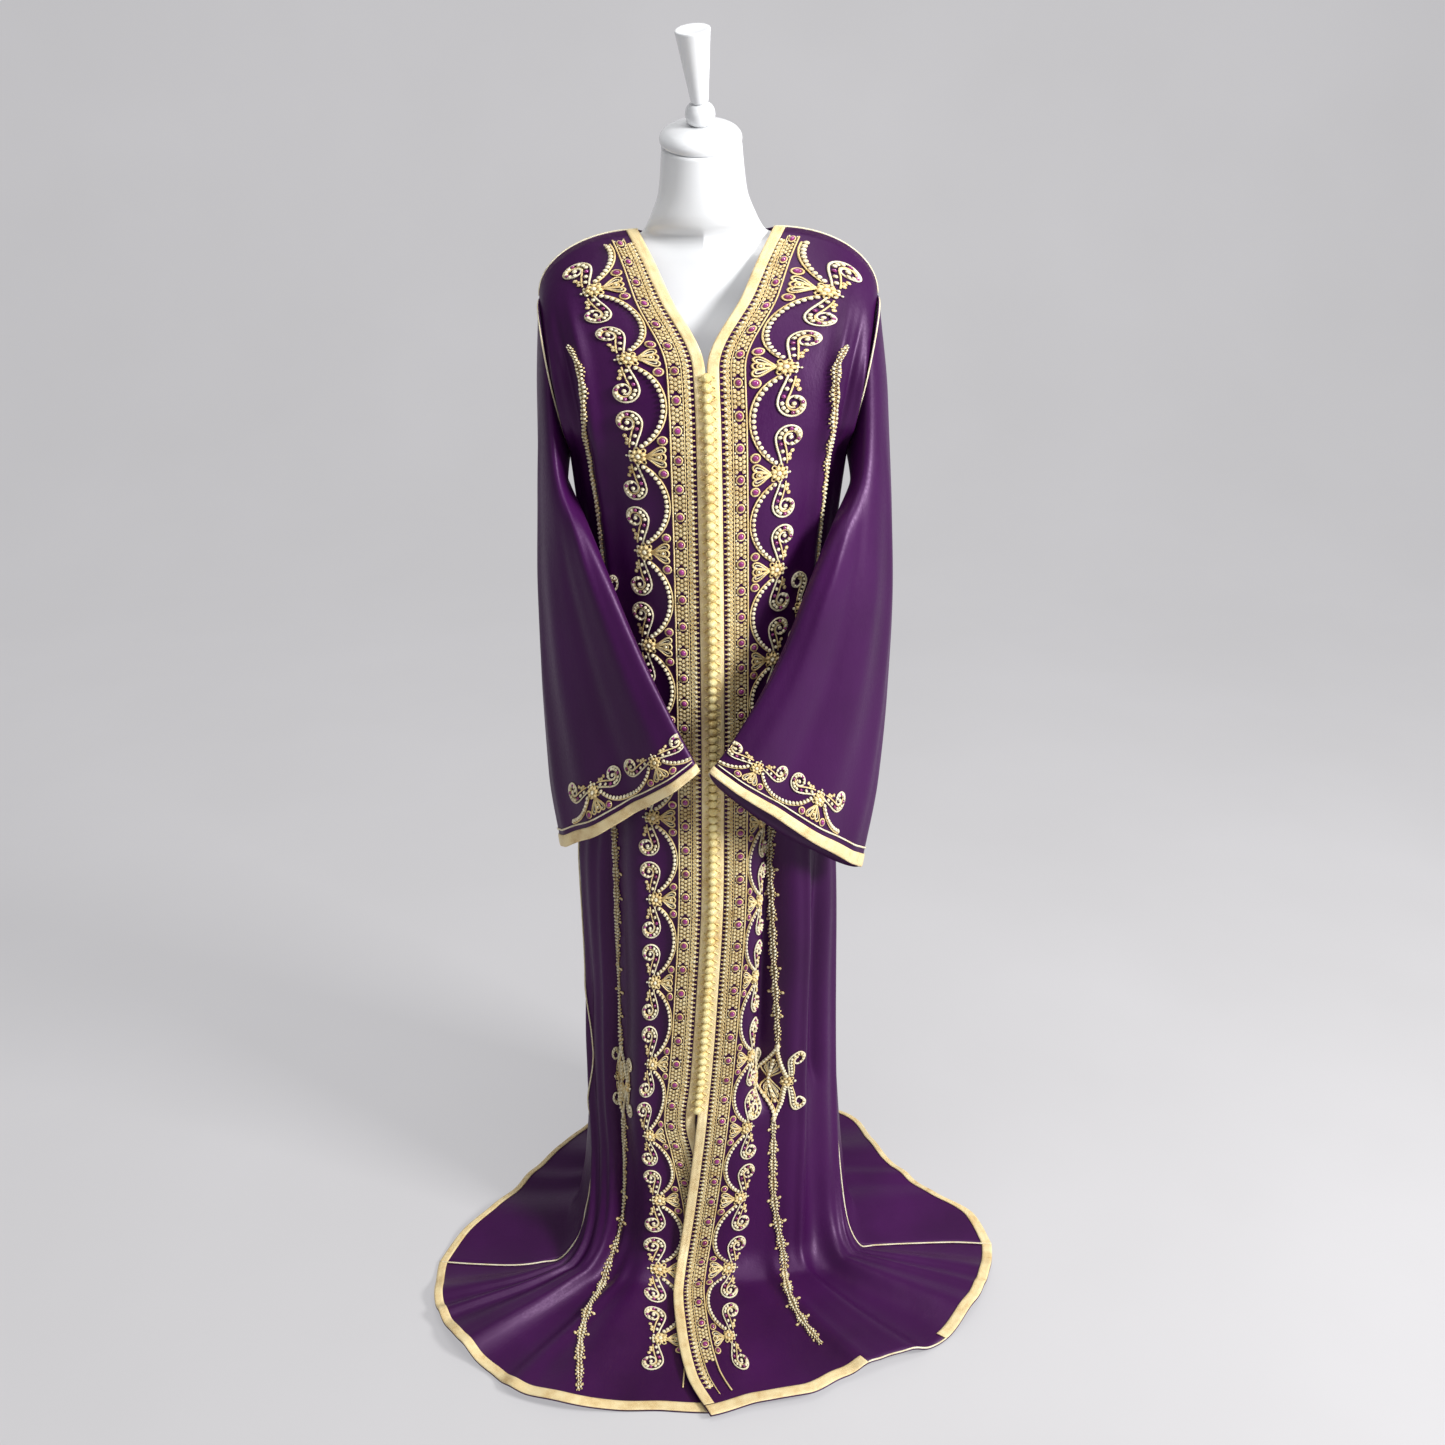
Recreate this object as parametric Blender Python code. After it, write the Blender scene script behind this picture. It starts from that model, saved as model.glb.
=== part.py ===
"""A long kaftan with gold trims, standing on a limbless dress form."""

import math

import bmesh
import bpy
import numpy as np
from mathutils import Matrix, Vector

CLOTH_WALL = 0.002
TRIM_WALL = 0.0015
BAND_WALL = 0.0010
LAY_GAP = 0.0004
FRONT_GAP = 0.0006
SEAM_SHARE = 0.0012
TRIM_WIDTH = 0.0145
BAND_START = 0.0162
BAND_WIDTH = 0.086
BAND_SCALLOP = 0.006
BAND_REPEAT = 0.1155
BAND_TOP_DROP = 0.02225
BAND_NECK_EDGE = 0.060
CUFF_BAND_COLUMNS = (1, 9)
HEM_DROP = 1.70
HEM_TRIM = 0.014
FLOOR_CLEAR = 0.0022
OVERLAP_LIFT = 0.008
OVERLAP_START_Z, OVERLAP_FULL_Z = 0.285, 0.232
KNOT_PITCH = 0.01115
KNOT_RADIUS, KNOT_NECK = 0.0047, 0.0024
KNOT_SIDES = 6
KNOT_TOP_DROP, KNOT_END_DROP = 0.205, 1.218
SLEEVE_SIDES = 18
SLEEVE_RINGS = 16
CUFF_SHARE = 0.972
CUFF_BAND_GAP = 0.0008
BACK_CUFF_SAG = {"left": 0.006, "right": 0.032}
FLOOR_TURN = (1.36, 1.52)
FLOOR_FOLD_START, FLOOR_FOLD_LENGTH = 1.40, 0.12
FOLD_FADE = 0.10
OVERLAP_FADE_START, OVERLAP_FADE_WIDTH = 0.30, 0.25
SLOPE_STEP = 0.004
BACK_NECK_DROP = 0.06
BACK_NECK_SHARE = 0.5
SHOULDER_SEAM_GAP = 0.0012
SAG_START_SHARE = 0.70
FRONT_SIDE_COLUMNS = 9
BACK_COLUMNS = 7
POLE_RADIUS = 0.011
BASE_RADIUS, BASE_THICK = 0.130, 0.006
BASE_SIDES, BASE_EDGE = 32, 0.002
FORM_SIDES = 24
FORM_LONGEST_STEP = 0.045
CAP_LEAN = math.radians(20)
FINIAL_LEAN_LEFT = math.radians(4.5)

# Rows of the body, from the shoulder seam to the hem. drop is the length down the front edge.
BODY_COLUMNS = (
    "drop", "y_in", "z_in", "x_in_left", "x_in_right",
    "x_out_left", "x_out_right", "y_out_left", "y_out_right", "z_out_left", "z_out_right",
    "y_back", "z_back", "armhole_y",
)
BODY_ROWS = (
    (0.00, -0.001, 1.418, -0.068, 0.091, -0.190, 0.216, 0.0, 0.0, 1.345, 1.340, 0.050, 1.404, 0.001),
    (0.05, -0.038, 1.386, -0.049, 0.071, -0.187, 0.2115, 0.0, 0.0, 1.325, 1.319, 0.060, 1.388, 0.024),
    (0.10, -0.068, 1.350, -0.031, 0.052, -0.183, 0.206, 0.0, 0.0, 1.298, 1.293, 0.072, 1.365, 0.045),
    (0.20, -0.112, 1.272, 0.008, 0.009, -0.175, 0.1965, 0.0, 0.0, 1.252, 1.247, 0.096, 1.290, 0.060),
    (0.27, -0.127, 1.203, 0.010, 0.010, -0.167, 0.186, 0.0, 0.0, 1.200, 1.195, 0.108, 1.210, 0.042),
    (0.32, -0.133, 1.153, 0.010, 0.010, -0.162, 0.1785, 0.0, 0.0, 1.165, 1.160, 0.113, 1.160, 0.0),
    (0.47, -0.130, 1.003, 0.009, 0.009, -0.153, 0.163, 0.0, 0.0, 1.003, 1.003, 0.110, 1.003, 0.0),
    (0.62, -0.126, 0.853, 0.007, 0.007, -0.157, 0.161, 0.0, 0.0, 0.853, 0.853, 0.114, 0.853, 0.0),
    (0.77, -0.130, 0.703, 0.004, 0.004, -0.176, 0.168, 0.0, 0.0, 0.703, 0.703, 0.122, 0.703, 0.0),
    (0.88, -0.136, 0.593, 0.001, 0.001, -0.186, 0.171, 0.0, 0.0, 0.593, 0.593, 0.125, 0.593, 0.0),
    (1.05, -0.144, 0.424, -0.011, -0.011, -0.183, 0.169, -0.005, 0.0, 0.424, 0.424, 0.125, 0.424, 0.0),
    (1.17, -0.151, 0.304, -0.022, -0.022, -0.186, 0.171, -0.025, -0.005, 0.304, 0.304, 0.125, 0.304, 0.0),
    (1.24, -0.157, 0.234, -0.0305, -0.0305, -0.186, 0.173, -0.039, -0.014, 0.234, 0.234, 0.125, 0.234, 0.0),
    (1.29, -0.163, 0.184, -0.022, -0.037, -0.186, 0.175, -0.055, -0.025, 0.184, 0.184, 0.125, 0.184, 0.0),
    (1.39, -0.180, 0.086, -0.006, -0.052, -0.194, 0.181, -0.100, -0.075, 0.080, 0.080, 0.127, 0.084, 0.0),
    (1.455, -0.203, 0.026, -0.003, -0.063, -0.212, 0.190, -0.145, -0.125, 0.022, 0.022, 0.132, 0.024, 0.0),
    (1.50, -0.243, 0.0022, -0.002, -0.068, -0.243, 0.212, -0.172, -0.158, 0.0022, 0.0022, 0.141, 0.0022, 0.0),
    (1.57, -0.312, 0.0022, -0.003, -0.061, -0.302, 0.270, -0.182, -0.156, 0.0022, 0.0022, 0.156, 0.0022, 0.0),
    (1.64, -0.380, 0.0022, -0.006, -0.046, -0.362, 0.335, -0.178, -0.155, 0.0022, 0.0022, 0.173, 0.0022, 0.0),
    (1.70, -0.440, 0.0022, -0.010, -0.015, -0.412, 0.395, -0.172, -0.160, 0.0022, 0.0022, 0.190, 0.0022, 0.0),
)

# The share by which the hem reaches further on the floor than its rows, at even steps from the centre to the seam.
WAVE_START_DROP = 1.46
HEM_WAVES = {
    "front_left": (0.0, -0.005, 0.030, 0.075, 0.090, 0.055, 0.050, 0.040, 0.030, 0.010, 0.005),
    "front_right": (0.040, -0.005, -0.005, -0.050, -0.050, -0.015, 0.0, 0.0, 0.0, 0.005, 0.015),
    "back_left": (0.0, 0.0, 0.0, 0.0, -0.050, -0.105, -0.120, -0.125, -0.105, -0.040, 0.005),
    "back_right": (0.0, 0.0, 0.0, 0.0, -0.020, -0.110, -0.155, -0.150, -0.110, -0.010, 0.015),
}

# Soft folds. u runs from the front or back centre (0) to the side seam (1).
FOLD_COLUMNS = ("panel", "u_top", "u_hem", "half_width", "height", "drop_start", "drop_full", "hem_height")
FOLDS = (
    ("front_right", 0.36, 0.30, 0.07, -0.020, 0.60, 0.90, 0.0),
    ("front_right", 0.50, 0.43, 0.07, 0.014, 0.74, 1.02, 0.012),
    ("front_right", 0.64, 0.56, 0.06, -0.009, 0.66, 0.95, 0.0),
    ("front_right", 0.77, 0.69, 0.07, 0.011, 0.70, 1.00, 0.018),
    ("front_right", 0.90, 0.86, 0.05, 0.004, 0.90, 1.30, 0.012),
    ("front_right", 0.16, 0.16, 0.10, 0.006, 0.55, 0.85, 0.006),
    ("front_left", 0.54, 0.50, 0.08, -0.013, 0.58, 0.88, 0.0),
    ("front_left", 0.38, 0.32, 0.09, 0.009, 0.60, 0.92, 0.012),
    ("front_left", 0.70, 0.64, 0.08, 0.010, 0.70, 1.00, 0.018),
    ("front_left", 0.88, 0.84, 0.06, 0.004, 0.95, 1.30, 0.012),
    ("back_left", 0.22, 0.20, 0.10, 0.010, 0.50, 0.90, 0.010),
    ("back_left", 0.52, 0.50, 0.10, 0.016, 0.50, 0.95, 0.014),
    ("back_left", 0.82, 0.80, 0.10, 0.020, 0.90, 1.30, 0.012),
    ("back_right", 0.26, 0.24, 0.10, 0.012, 0.50, 0.90, 0.012),
    ("back_right", 0.58, 0.54, 0.10, 0.014, 0.50, 0.95, 0.014),
    ("back_right", 0.84, 0.80, 0.10, 0.016, 0.90, 1.30, 0.010),
)

# Sections of a sleeve: its outer edge, its inner edge, and half its depth towards the front.
SLEEVE_COLUMNS = (
    "share", "outer_x", "outer_y", "outer_z", "inner_x", "inner_y", "inner_z", "deep_x", "deep_y", "deep_z",
)
SLEEVE_LEFT = (
    (0.00, -0.1905, 0.000, 1.343, -0.1626, 0.000, 1.166, 0.000, -0.062, 0.000),
    (0.15, -0.2000, -0.006, 1.235, -0.1640, -0.050, 1.135, 0.002, -0.045, 0.000),
    (0.32, -0.2040, -0.018, 1.110, -0.1400, -0.108, 1.090, -0.008, -0.030, 0.000),
    (0.50, -0.2100, -0.030, 0.985, -0.1120, -0.138, 1.025, -0.014, -0.022, 0.000),
    (0.68, -0.2140, -0.045, 0.860, -0.0780, -0.158, 0.940, -0.013, -0.021, -0.004),
    (0.85, -0.2120, -0.065, 0.748, -0.0420, -0.178, 0.862, -0.011, -0.021, -0.006),
    (1.00, -0.2000, -0.088, 0.650, -0.0110, -0.194, 0.802, -0.010, -0.022, -0.008),
)
SLEEVE_RIGHT = (
    (0.00, 0.2168, 0.000, 1.338, 0.1792, 0.000, 1.161, 0.000, -0.062, 0.000),
    (0.15, 0.2310, -0.006, 1.220, 0.1820, -0.050, 1.130, -0.002, -0.045, 0.000),
    (0.32, 0.2360, -0.020, 1.090, 0.1570, -0.114, 1.085, 0.008, -0.032, 0.000),
    (0.50, 0.2380, -0.034, 0.970, 0.1270, -0.146, 1.022, 0.014, -0.026, 0.000),
    (0.68, 0.2340, -0.048, 0.845, 0.0900, -0.165, 0.935, 0.013, -0.024, -0.004),
    (0.85, 0.2240, -0.068, 0.728, 0.0420, -0.184, 0.855, 0.011, -0.021, -0.006),
    (1.00, 0.2010, -0.094, 0.610, 0.0020, -0.198, 0.802, 0.010, -0.022, -0.004),
)
SLEEVES = {"left": SLEEVE_LEFT, "right": SLEEVE_RIGHT}

# Rings of the dress form. A power of 2 is an oval, and a lower one is drawn in to a ridge along the shoulder.
FORM_COLUMNS = ("z", "half_width", "front", "back", "power")
FORM_RINGS = (
    (0.700, 0.104, 0.072, 0.072, 2.0),
    (0.725, 0.128, 0.088, 0.088, 2.0),
    (0.800, 0.134, 0.096, 0.096, 2.0),
    (0.920, 0.112, 0.084, 0.080, 2.0),
    (1.050, 0.128, 0.104, 0.088, 2.0),
    (1.150, 0.140, 0.122, 0.092, 2.0),
    (1.240, 0.150, 0.092, 0.084, 2.0),
    (1.300, 0.160, 0.066, 0.066, 1.9),
    (1.340, 0.162, 0.048, 0.050, 1.8),
    (1.368, 0.152, 0.042, 0.040, 1.4),
    (1.388, 0.132, 0.038, 0.036, 1.15),
    (1.409, 0.0935, 0.029, 0.034, 1.0),
    (1.4145, 0.0745, 0.033, 0.034, 1.3),
    (1.4210, 0.0690, 0.037, 0.037, 1.8),
    (1.434, 0.0620, 0.042, 0.043, 2.0),
    (1.460, 0.0520, 0.045, 0.045, 2.0),
    (1.511, 0.0465, 0.0465, 0.0465, 2.0),
)
FORM_CENTRE_X = 0.009
CAP_SHIFT_X = -0.001

# The turned pieces above the neck, as heights along their lean and radii.
CAP_PROFILE = ((0.0, 0.0465), (0.006, 0.0480), (0.013, 0.0440), (0.0175, 0.0330), (0.020, 0.0180))
COLLAR_PROFILE = ((0.0205, 0.0120), (0.025, 0.0158), (0.031, 0.0174), (0.038, 0.0160), (0.043, 0.0110))
FINIAL_FOOT = 0.0446
FINIAL_PROFILE = ((0.0, 0.0098), (0.004, 0.0106), (0.037, 0.0150), (0.0755, 0.0200), (0.0775, 0.0190))
TURNED_SIDES = 16


def clear_scene():
    for obj in list(bpy.data.objects):
        bpy.data.objects.remove(obj, do_unlink=True)


def material(name, colour, roughness, metallic):
    made = bpy.data.materials.new(name)
    made.use_nodes = True
    shader = made.node_tree.nodes["Principled BSDF"]
    shader.inputs["Base Color"].default_value = (*colour, 1.0)
    shader.inputs["Roughness"].default_value = roughness
    shader.inputs["Metallic"].default_value = metallic
    return made


def finish_object(name, bm, mat):
    bmesh.ops.recalc_face_normals(bm, faces=bm.faces)
    mesh = bpy.data.meshes.new(name)
    bm.to_mesh(mesh)
    bm.free()
    obj = bpy.data.objects.new(name, mesh)
    bpy.context.scene.collection.objects.link(obj)
    mesh.materials.append(mat)
    return obj


def closed_sheet(name, outer, inner, mat, ring=False):
    """Joins two matching grids of points into one closed wall."""
    rows, columns = len(outer), len(outer[0])
    bm = bmesh.new()
    top = [[bm.verts.new(point) for point in row] for row in outer]
    low = [[bm.verts.new(point) for point in row] for row in inner]
    spans = columns if ring else columns - 1
    for i in range(rows - 1):
        for j in range(spans):
            k = (j + 1) % columns
            bm.faces.new((top[i][j], top[i][k], top[i + 1][k], top[i + 1][j]))
            bm.faces.new((low[i][j], low[i + 1][j], low[i + 1][k], low[i][k]))
    for i in (0, rows - 1):
        for j in range(spans):
            k = (j + 1) % columns
            bm.faces.new((top[i][j], low[i][j], low[i][k], top[i][k]))
    if not ring:
        for j in (0, columns - 1):
            for i in range(rows - 1):
                bm.faces.new((top[i][j], top[i + 1][j], low[i + 1][j], low[i][j]))
    return finish_object(name, bm, mat)


def column(rows, columns, name):
    return np.array([row[columns.index(name)] for row in rows])


def smooth_value(at, stations, values):
    """A cubic through the table's values, flat at a turning point."""
    at = min(max(at, stations[0]), stations[-1])
    k = min(int(np.searchsorted(stations, at, side="right")) - 1, len(stations) - 2)
    steps = np.diff(stations)
    slopes = np.diff(values) / steps

    def tangent(i):
        if i == 0:
            return slopes[0]
        if i == len(values) - 1:
            return slopes[-1]
        if slopes[i - 1] * slopes[i] <= 0:
            return 0.0
        return 2 * slopes[i - 1] * slopes[i] / (slopes[i - 1] + slopes[i])

    f = (at - stations[k]) / steps[k]
    a, b = values[k], values[k + 1]
    ta, tb = tangent(k) * steps[k], tangent(k + 1) * steps[k]
    return (
        a * (2 * f**3 - 3 * f**2 + 1)
        + ta * (f**3 - 2 * f**2 + f)
        + b * (3 * f**2 - 2 * f**3)
        + tb * (f**3 - f**2)
    )


def body_value(name, drop):
    return smooth_value(drop, column(BODY_ROWS, BODY_COLUMNS, "drop"), column(BODY_ROWS, BODY_COLUMNS, name))


def smooth_step(f):
    f = min(max(f, 0.0), 1.0)
    return f * f * (3 - 2 * f)


def hem_wave(panel, u, drop):
    """The share by which the panel reaches further out on the floor here."""
    values = HEM_WAVES[panel]
    stations = [k / (len(values) - 1) for k in range(len(values))]
    spread = smooth_step((drop - WAVE_START_DROP) / (HEM_DROP - WAVE_START_DROP))
    return smooth_value(u, stations, values) * spread


def panel_base(panel, u, drop):
    """The panel without its folds: a quarter of an oval between its centre edge and its side edge."""
    face, side = panel.split("_")
    turn = u * math.pi / 2
    x_out = body_value("x_out_" + side, drop)
    z_out = body_value("z_out_" + side, drop)
    armhole = body_value("armhole_y", drop)
    y_out = body_value("y_out_" + side, drop) + (-armhole if face == "front" else armhole)
    if face == "front":
        x_in, y_in, z_in = (body_value(n, drop) for n in ("x_in_" + side, "y_in", "z_in"))
        x_in += FRONT_GAP if side == "right" else -FRONT_GAP
    else:
        x_in, y_in, z_in = 0.0, body_value("y_back", drop), body_value("z_back", drop)
    across, away = math.sin(turn), 1 - math.cos(turn)
    if face == "back":
        neck = 1 - smooth_step(drop / BACK_NECK_DROP)
        if neck > 0:
            x_neck = body_value("x_in_" + side, 0.0)
            y_neck = SHOULDER_SEAM_GAP
            z_neck = body_value("z_in", 0.0)
            if u < BACK_NECK_SHARE:
                f = u / BACK_NECK_SHARE
                top = Vector((x_neck * f, y_in + (y_neck - y_in) * f**3, z_in + (z_neck - z_in) * f**2))
            else:
                f = (u - BACK_NECK_SHARE) / (1 - BACK_NECK_SHARE) * math.pi / 2
                top = Vector(
                    (
                        x_neck + (x_out - x_neck) * math.sin(f),
                        y_neck + (y_out - y_neck) * (1 - math.cos(f)),
                        z_neck + (z_out - z_neck) * (1 - math.cos(f)),
                    )
                )
            low = Vector((x_out * across, y_in + (y_out - y_in) * away, z_in + (z_out - z_in) * away))
            return top * neck + low * (1 - neck)
    reach = 1 + hem_wave(panel, u, drop)
    return Vector(
        (
            (x_in + (x_out - x_in) * across) * reach,
            y_out + (y_in + (y_out - y_in) * away - y_out) * reach,
            z_in + (z_out - z_in) * away,
        )
    )


def overlap_share(panel, drop):
    """How far the viewer-right front has been lifted over the left one at this drop, 0 to 1."""
    if panel != "front_right":
        return 0.0
    z = body_value("z_in", drop)
    return smooth_step((OVERLAP_START_Z - z) / (OVERLAP_START_Z - OVERLAP_FULL_Z))


def fold_height(panel, u, drop):
    height = 0.0
    on_floor = smooth_step((drop - FLOOR_FOLD_START) / FLOOR_FOLD_LENGTH)
    over = overlap_share(panel, drop)
    for row in FOLDS:
        fold = dict(zip(FOLD_COLUMNS, row))
        if fold["panel"] != panel:
            continue
        centre = fold["u_top"] + (fold["u_hem"] - fold["u_top"]) * drop / HEM_DROP
        near = (u - centre) / fold["half_width"]
        start, full = fold["drop_start"], fold["drop_full"]
        grown = smooth_step((drop - start) / (full - start))
        size = fold["height"] * (1 - on_floor) + fold["hem_height"] * on_floor
        if size < 0:
            size *= 1 - over
        height += size * grown * math.exp(-near * near)
    height *= smooth_step((1 - u) / FOLD_FADE)
    if panel.startswith("front"):
        height *= smooth_step(u / FOLD_FADE)
    return height + OVERLAP_LIFT * over * (1 - smooth_step((u - OVERLAP_FADE_START) / OVERLAP_FADE_WIDTH))


def panel_normal(panel, u, drop):
    low_u, high_u = max(u - SLOPE_STEP, 0.0), min(u + SLOPE_STEP, 1.0)
    low_d, high_d = max(drop - SLOPE_STEP, 0.0), min(drop + SLOPE_STEP, HEM_DROP)
    across = panel_point(panel, high_u, drop) - panel_point(panel, low_u, drop)
    down = panel_point(panel, u, high_d) - panel_point(panel, u, low_d)
    normal = across.cross(down)
    if normal.length < 1e-12:
        normal = Vector((0, 0, 1))
    normal.normalize()
    if panel in ("front_right", "back_left"):
        normal.negate()
    if drop < 1e-6:
        normal.y = 0.0
        normal.normalize()
    return normal


def base_normal(panel, u, drop):
    low_u, high_u = max(u - SLOPE_STEP, 0.0), min(u + SLOPE_STEP, 1.0)
    low_d, high_d = max(drop - SLOPE_STEP, 0.0), min(drop + SLOPE_STEP, HEM_DROP)
    across = panel_base(panel, high_u, drop) - panel_base(panel, low_u, drop)
    down = panel_base(panel, u, high_d) - panel_base(panel, u, low_d)
    normal = across.cross(down).normalized()
    if panel in ("front_right", "back_left"):
        normal.negate()
    return normal


def panel_point(panel, u, drop):
    point = panel_base(panel, u, drop)
    height = fold_height(panel, u, drop)
    if abs(height) > 1e-7:
        point = point + base_normal(panel, u, drop) * height
    point.z = max(point.z, FLOOR_CLEAR)
    return point


def row_turns(panel, drop, distances):
    """The u of each distance in metres from the panel's inner edge."""
    steps = 60
    along = [0.0]
    last = panel_point(panel, 0.0, drop)
    for k in range(1, steps + 1):
        point = panel_point(panel, k / steps, drop)
        along.append(along[-1] + (point - last).length)
        last = point
    return [float(np.interp(d, along, np.linspace(0, 1, steps + 1))) for d in distances]


def scallop(drop):
    return -BAND_SCALLOP * math.cos(2 * math.pi * (drop - BAND_TOP_DROP) / BAND_REPEAT)


def row_drops():
    """Three rows to each repeat of the band, and closer ones where the skirt turns onto the floor."""
    drops, drop = [0.0], BAND_TOP_DROP
    while drop < HEM_DROP - 1.8 * HEM_TRIM:
        drops.append(drop)
        drop += BAND_REPEAT / (6 if FLOOR_TURN[0] < drop < FLOOR_TURN[1] else 3)
    return drops + [HEM_DROP - HEM_TRIM, HEM_DROP]


def front_grid(panel):
    """Points, normals and distances of a front panel, with columns where the trim and the band begin and end."""
    points, normals = [], []
    for drop in row_drops():
        edge = BAND_START + BAND_WIDTH + scallop(drop)
        narrow = smooth_step(drop / 0.10)
        edge = BAND_NECK_EDGE + (edge - BAND_NECK_EDGE) * narrow
        inner = [0.0, TRIM_WIDTH, BAND_START, BAND_START + (edge - BAND_START) * 0.5, edge]
        turns = row_turns(panel, drop, inner)
        last = 1 - SEAM_SHARE
        turns += [turns[-1] + (last - turns[-1]) * k / FRONT_SIDE_COLUMNS for k in range(1, FRONT_SIDE_COLUMNS + 1)]
        points.append([panel_point(panel, u, drop) for u in turns])
        normals.append([panel_normal(panel, u, drop) for u in turns])
    return points, normals


def lifted(points, normals, height, rows, columns):
    return [
        [raised(points[i][j], normals[i][j], height) for j in range(*columns)]
        for i in range(*rows)
    ]


def raised(point, normal, height):
    moved = point + normal * height
    moved.z = max(moved.z, FLOOR_CLEAR + height)
    return moved


def build_front(panel, cloth, gold, thread):
    points, normals = front_grid(panel)
    rows, columns = len(points), len(points[0])
    side = panel.split("_")[1]

    def layer(height, row_span, column_span):
        return lifted(points, normals, height, row_span, column_span)

    whole_rows, whole_columns = (0, rows), (0, columns)
    closed_sheet(
        "kaftan_" + panel,
        layer(0.0, whole_rows, whole_columns),
        layer(-CLOTH_WALL, whole_rows, whole_columns),
        cloth,
    )
    trim_rows, trim_columns = (0, rows - 2), (0, 2)
    closed_sheet(
        "front_trim_" + side,
        layer(LAY_GAP + TRIM_WALL, trim_rows, trim_columns),
        layer(LAY_GAP, trim_rows, trim_columns),
        gold,
    )
    band_rows, band_columns = (1, rows - 2), (2, 5)
    closed_sheet(
        "embroidered_band_" + side,
        layer(LAY_GAP + BAND_WALL, band_rows, band_columns),
        layer(LAY_GAP, band_rows, band_columns),
        thread,
    )
    hem_rows = (rows - 2, rows)
    closed_sheet(
        "hem_trim_front_" + side,
        layer(LAY_GAP + TRIM_WALL, hem_rows, whole_columns),
        layer(LAY_GAP, hem_rows, whole_columns),
        gold,
    )


def build_back(cloth, gold):
    drops = row_drops()
    last = 1 - SEAM_SHARE
    turns = [last * k / BACK_COLUMNS for k in range(BACK_COLUMNS + 1)]
    points, normals = [], []
    for drop in drops:
        sides = [("back_left", u) for u in reversed(turns[1:])] + [("back_right", u) for u in turns]
        points.append([panel_point(side, u, drop) for side, u in sides])
        row = []
        for side, u in sides:
            normal = panel_normal(side, u, drop)
            if u == 0:
                normal = (normal + panel_normal("back_left", u, drop)).normalized()
            row.append(normal)
        normals.append(row)
    rows, columns = (0, len(points)), (0, len(points[0]))
    closed_sheet(
        "kaftan_back",
        lifted(points, normals, 0.0, rows, columns),
        lifted(points, normals, -CLOTH_WALL, rows, columns),
        cloth,
    )
    hem_rows = (len(points) - 2, len(points))
    closed_sheet(
        "hem_trim_back",
        lifted(points, normals, LAY_GAP + TRIM_WALL, hem_rows, columns),
        lifted(points, normals, LAY_GAP, hem_rows, columns),
        gold,
    )


def sleeve_point(side, share, turn, grown):
    table = SLEEVES[side]
    value = {
        name: smooth_value(share, column(table, SLEEVE_COLUMNS, "share"), column(table, SLEEVE_COLUMNS, name))
        for name in SLEEVE_COLUMNS[1:]
    }
    outer = Vector([value["outer_" + a] for a in "xyz"])
    inner = Vector([value["inner_" + a] for a in "xyz"])
    deep = Vector([value["deep_" + a] for a in "xyz"])
    middle, half = (outer + inner) / 2, (inner - outer) / 2
    half_size, deep_size = half.length, deep.length
    half = half * (half_size + grown) / half_size
    deep = deep * (deep_size + grown) / deep_size
    sag = BACK_CUFF_SAG[side] * max(0.0, -math.sin(turn)) * smooth_step((share - SAG_START_SHARE) / (1 - SAG_START_SHARE))
    return middle + half * math.cos(turn) + deep * math.sin(turn) - Vector((0, 0, sag))


def build_sleeve(side, cloth, gold, thread):
    turns = [2 * math.pi * k / SLEEVE_SIDES for k in range(SLEEVE_SIDES)]
    shares = [CUFF_SHARE * k / (SLEEVE_RINGS - 1) for k in range(SLEEVE_RINGS - 1)]
    shares += [CUFF_SHARE - CUFF_BAND_GAP, CUFF_SHARE, 1.0]

    def rings(grown, wanted, around=turns):
        return [[sleeve_point(side, share, turn, grown) for turn in around] for share in wanted]

    closed_sheet("sleeve_" + side, rings(0.0, shares), rings(-CLOTH_WALL, shares), cloth, ring=True)
    cuff = shares[-2:]
    closed_sheet(
        "cuff_trim_" + side,
        rings(LAY_GAP + TRIM_WALL, cuff),
        rings(LAY_GAP, cuff),
        gold,
        ring=True,
    )
    band_shares, band_turns = shares[-5:-2], turns[slice(*CUFF_BAND_COLUMNS)]
    closed_sheet(
        "cuff_band_" + side,
        rings(LAY_GAP + BAND_WALL, band_shares, band_turns),
        rings(LAY_GAP, band_shares, band_turns),
        thread,
    )


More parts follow.
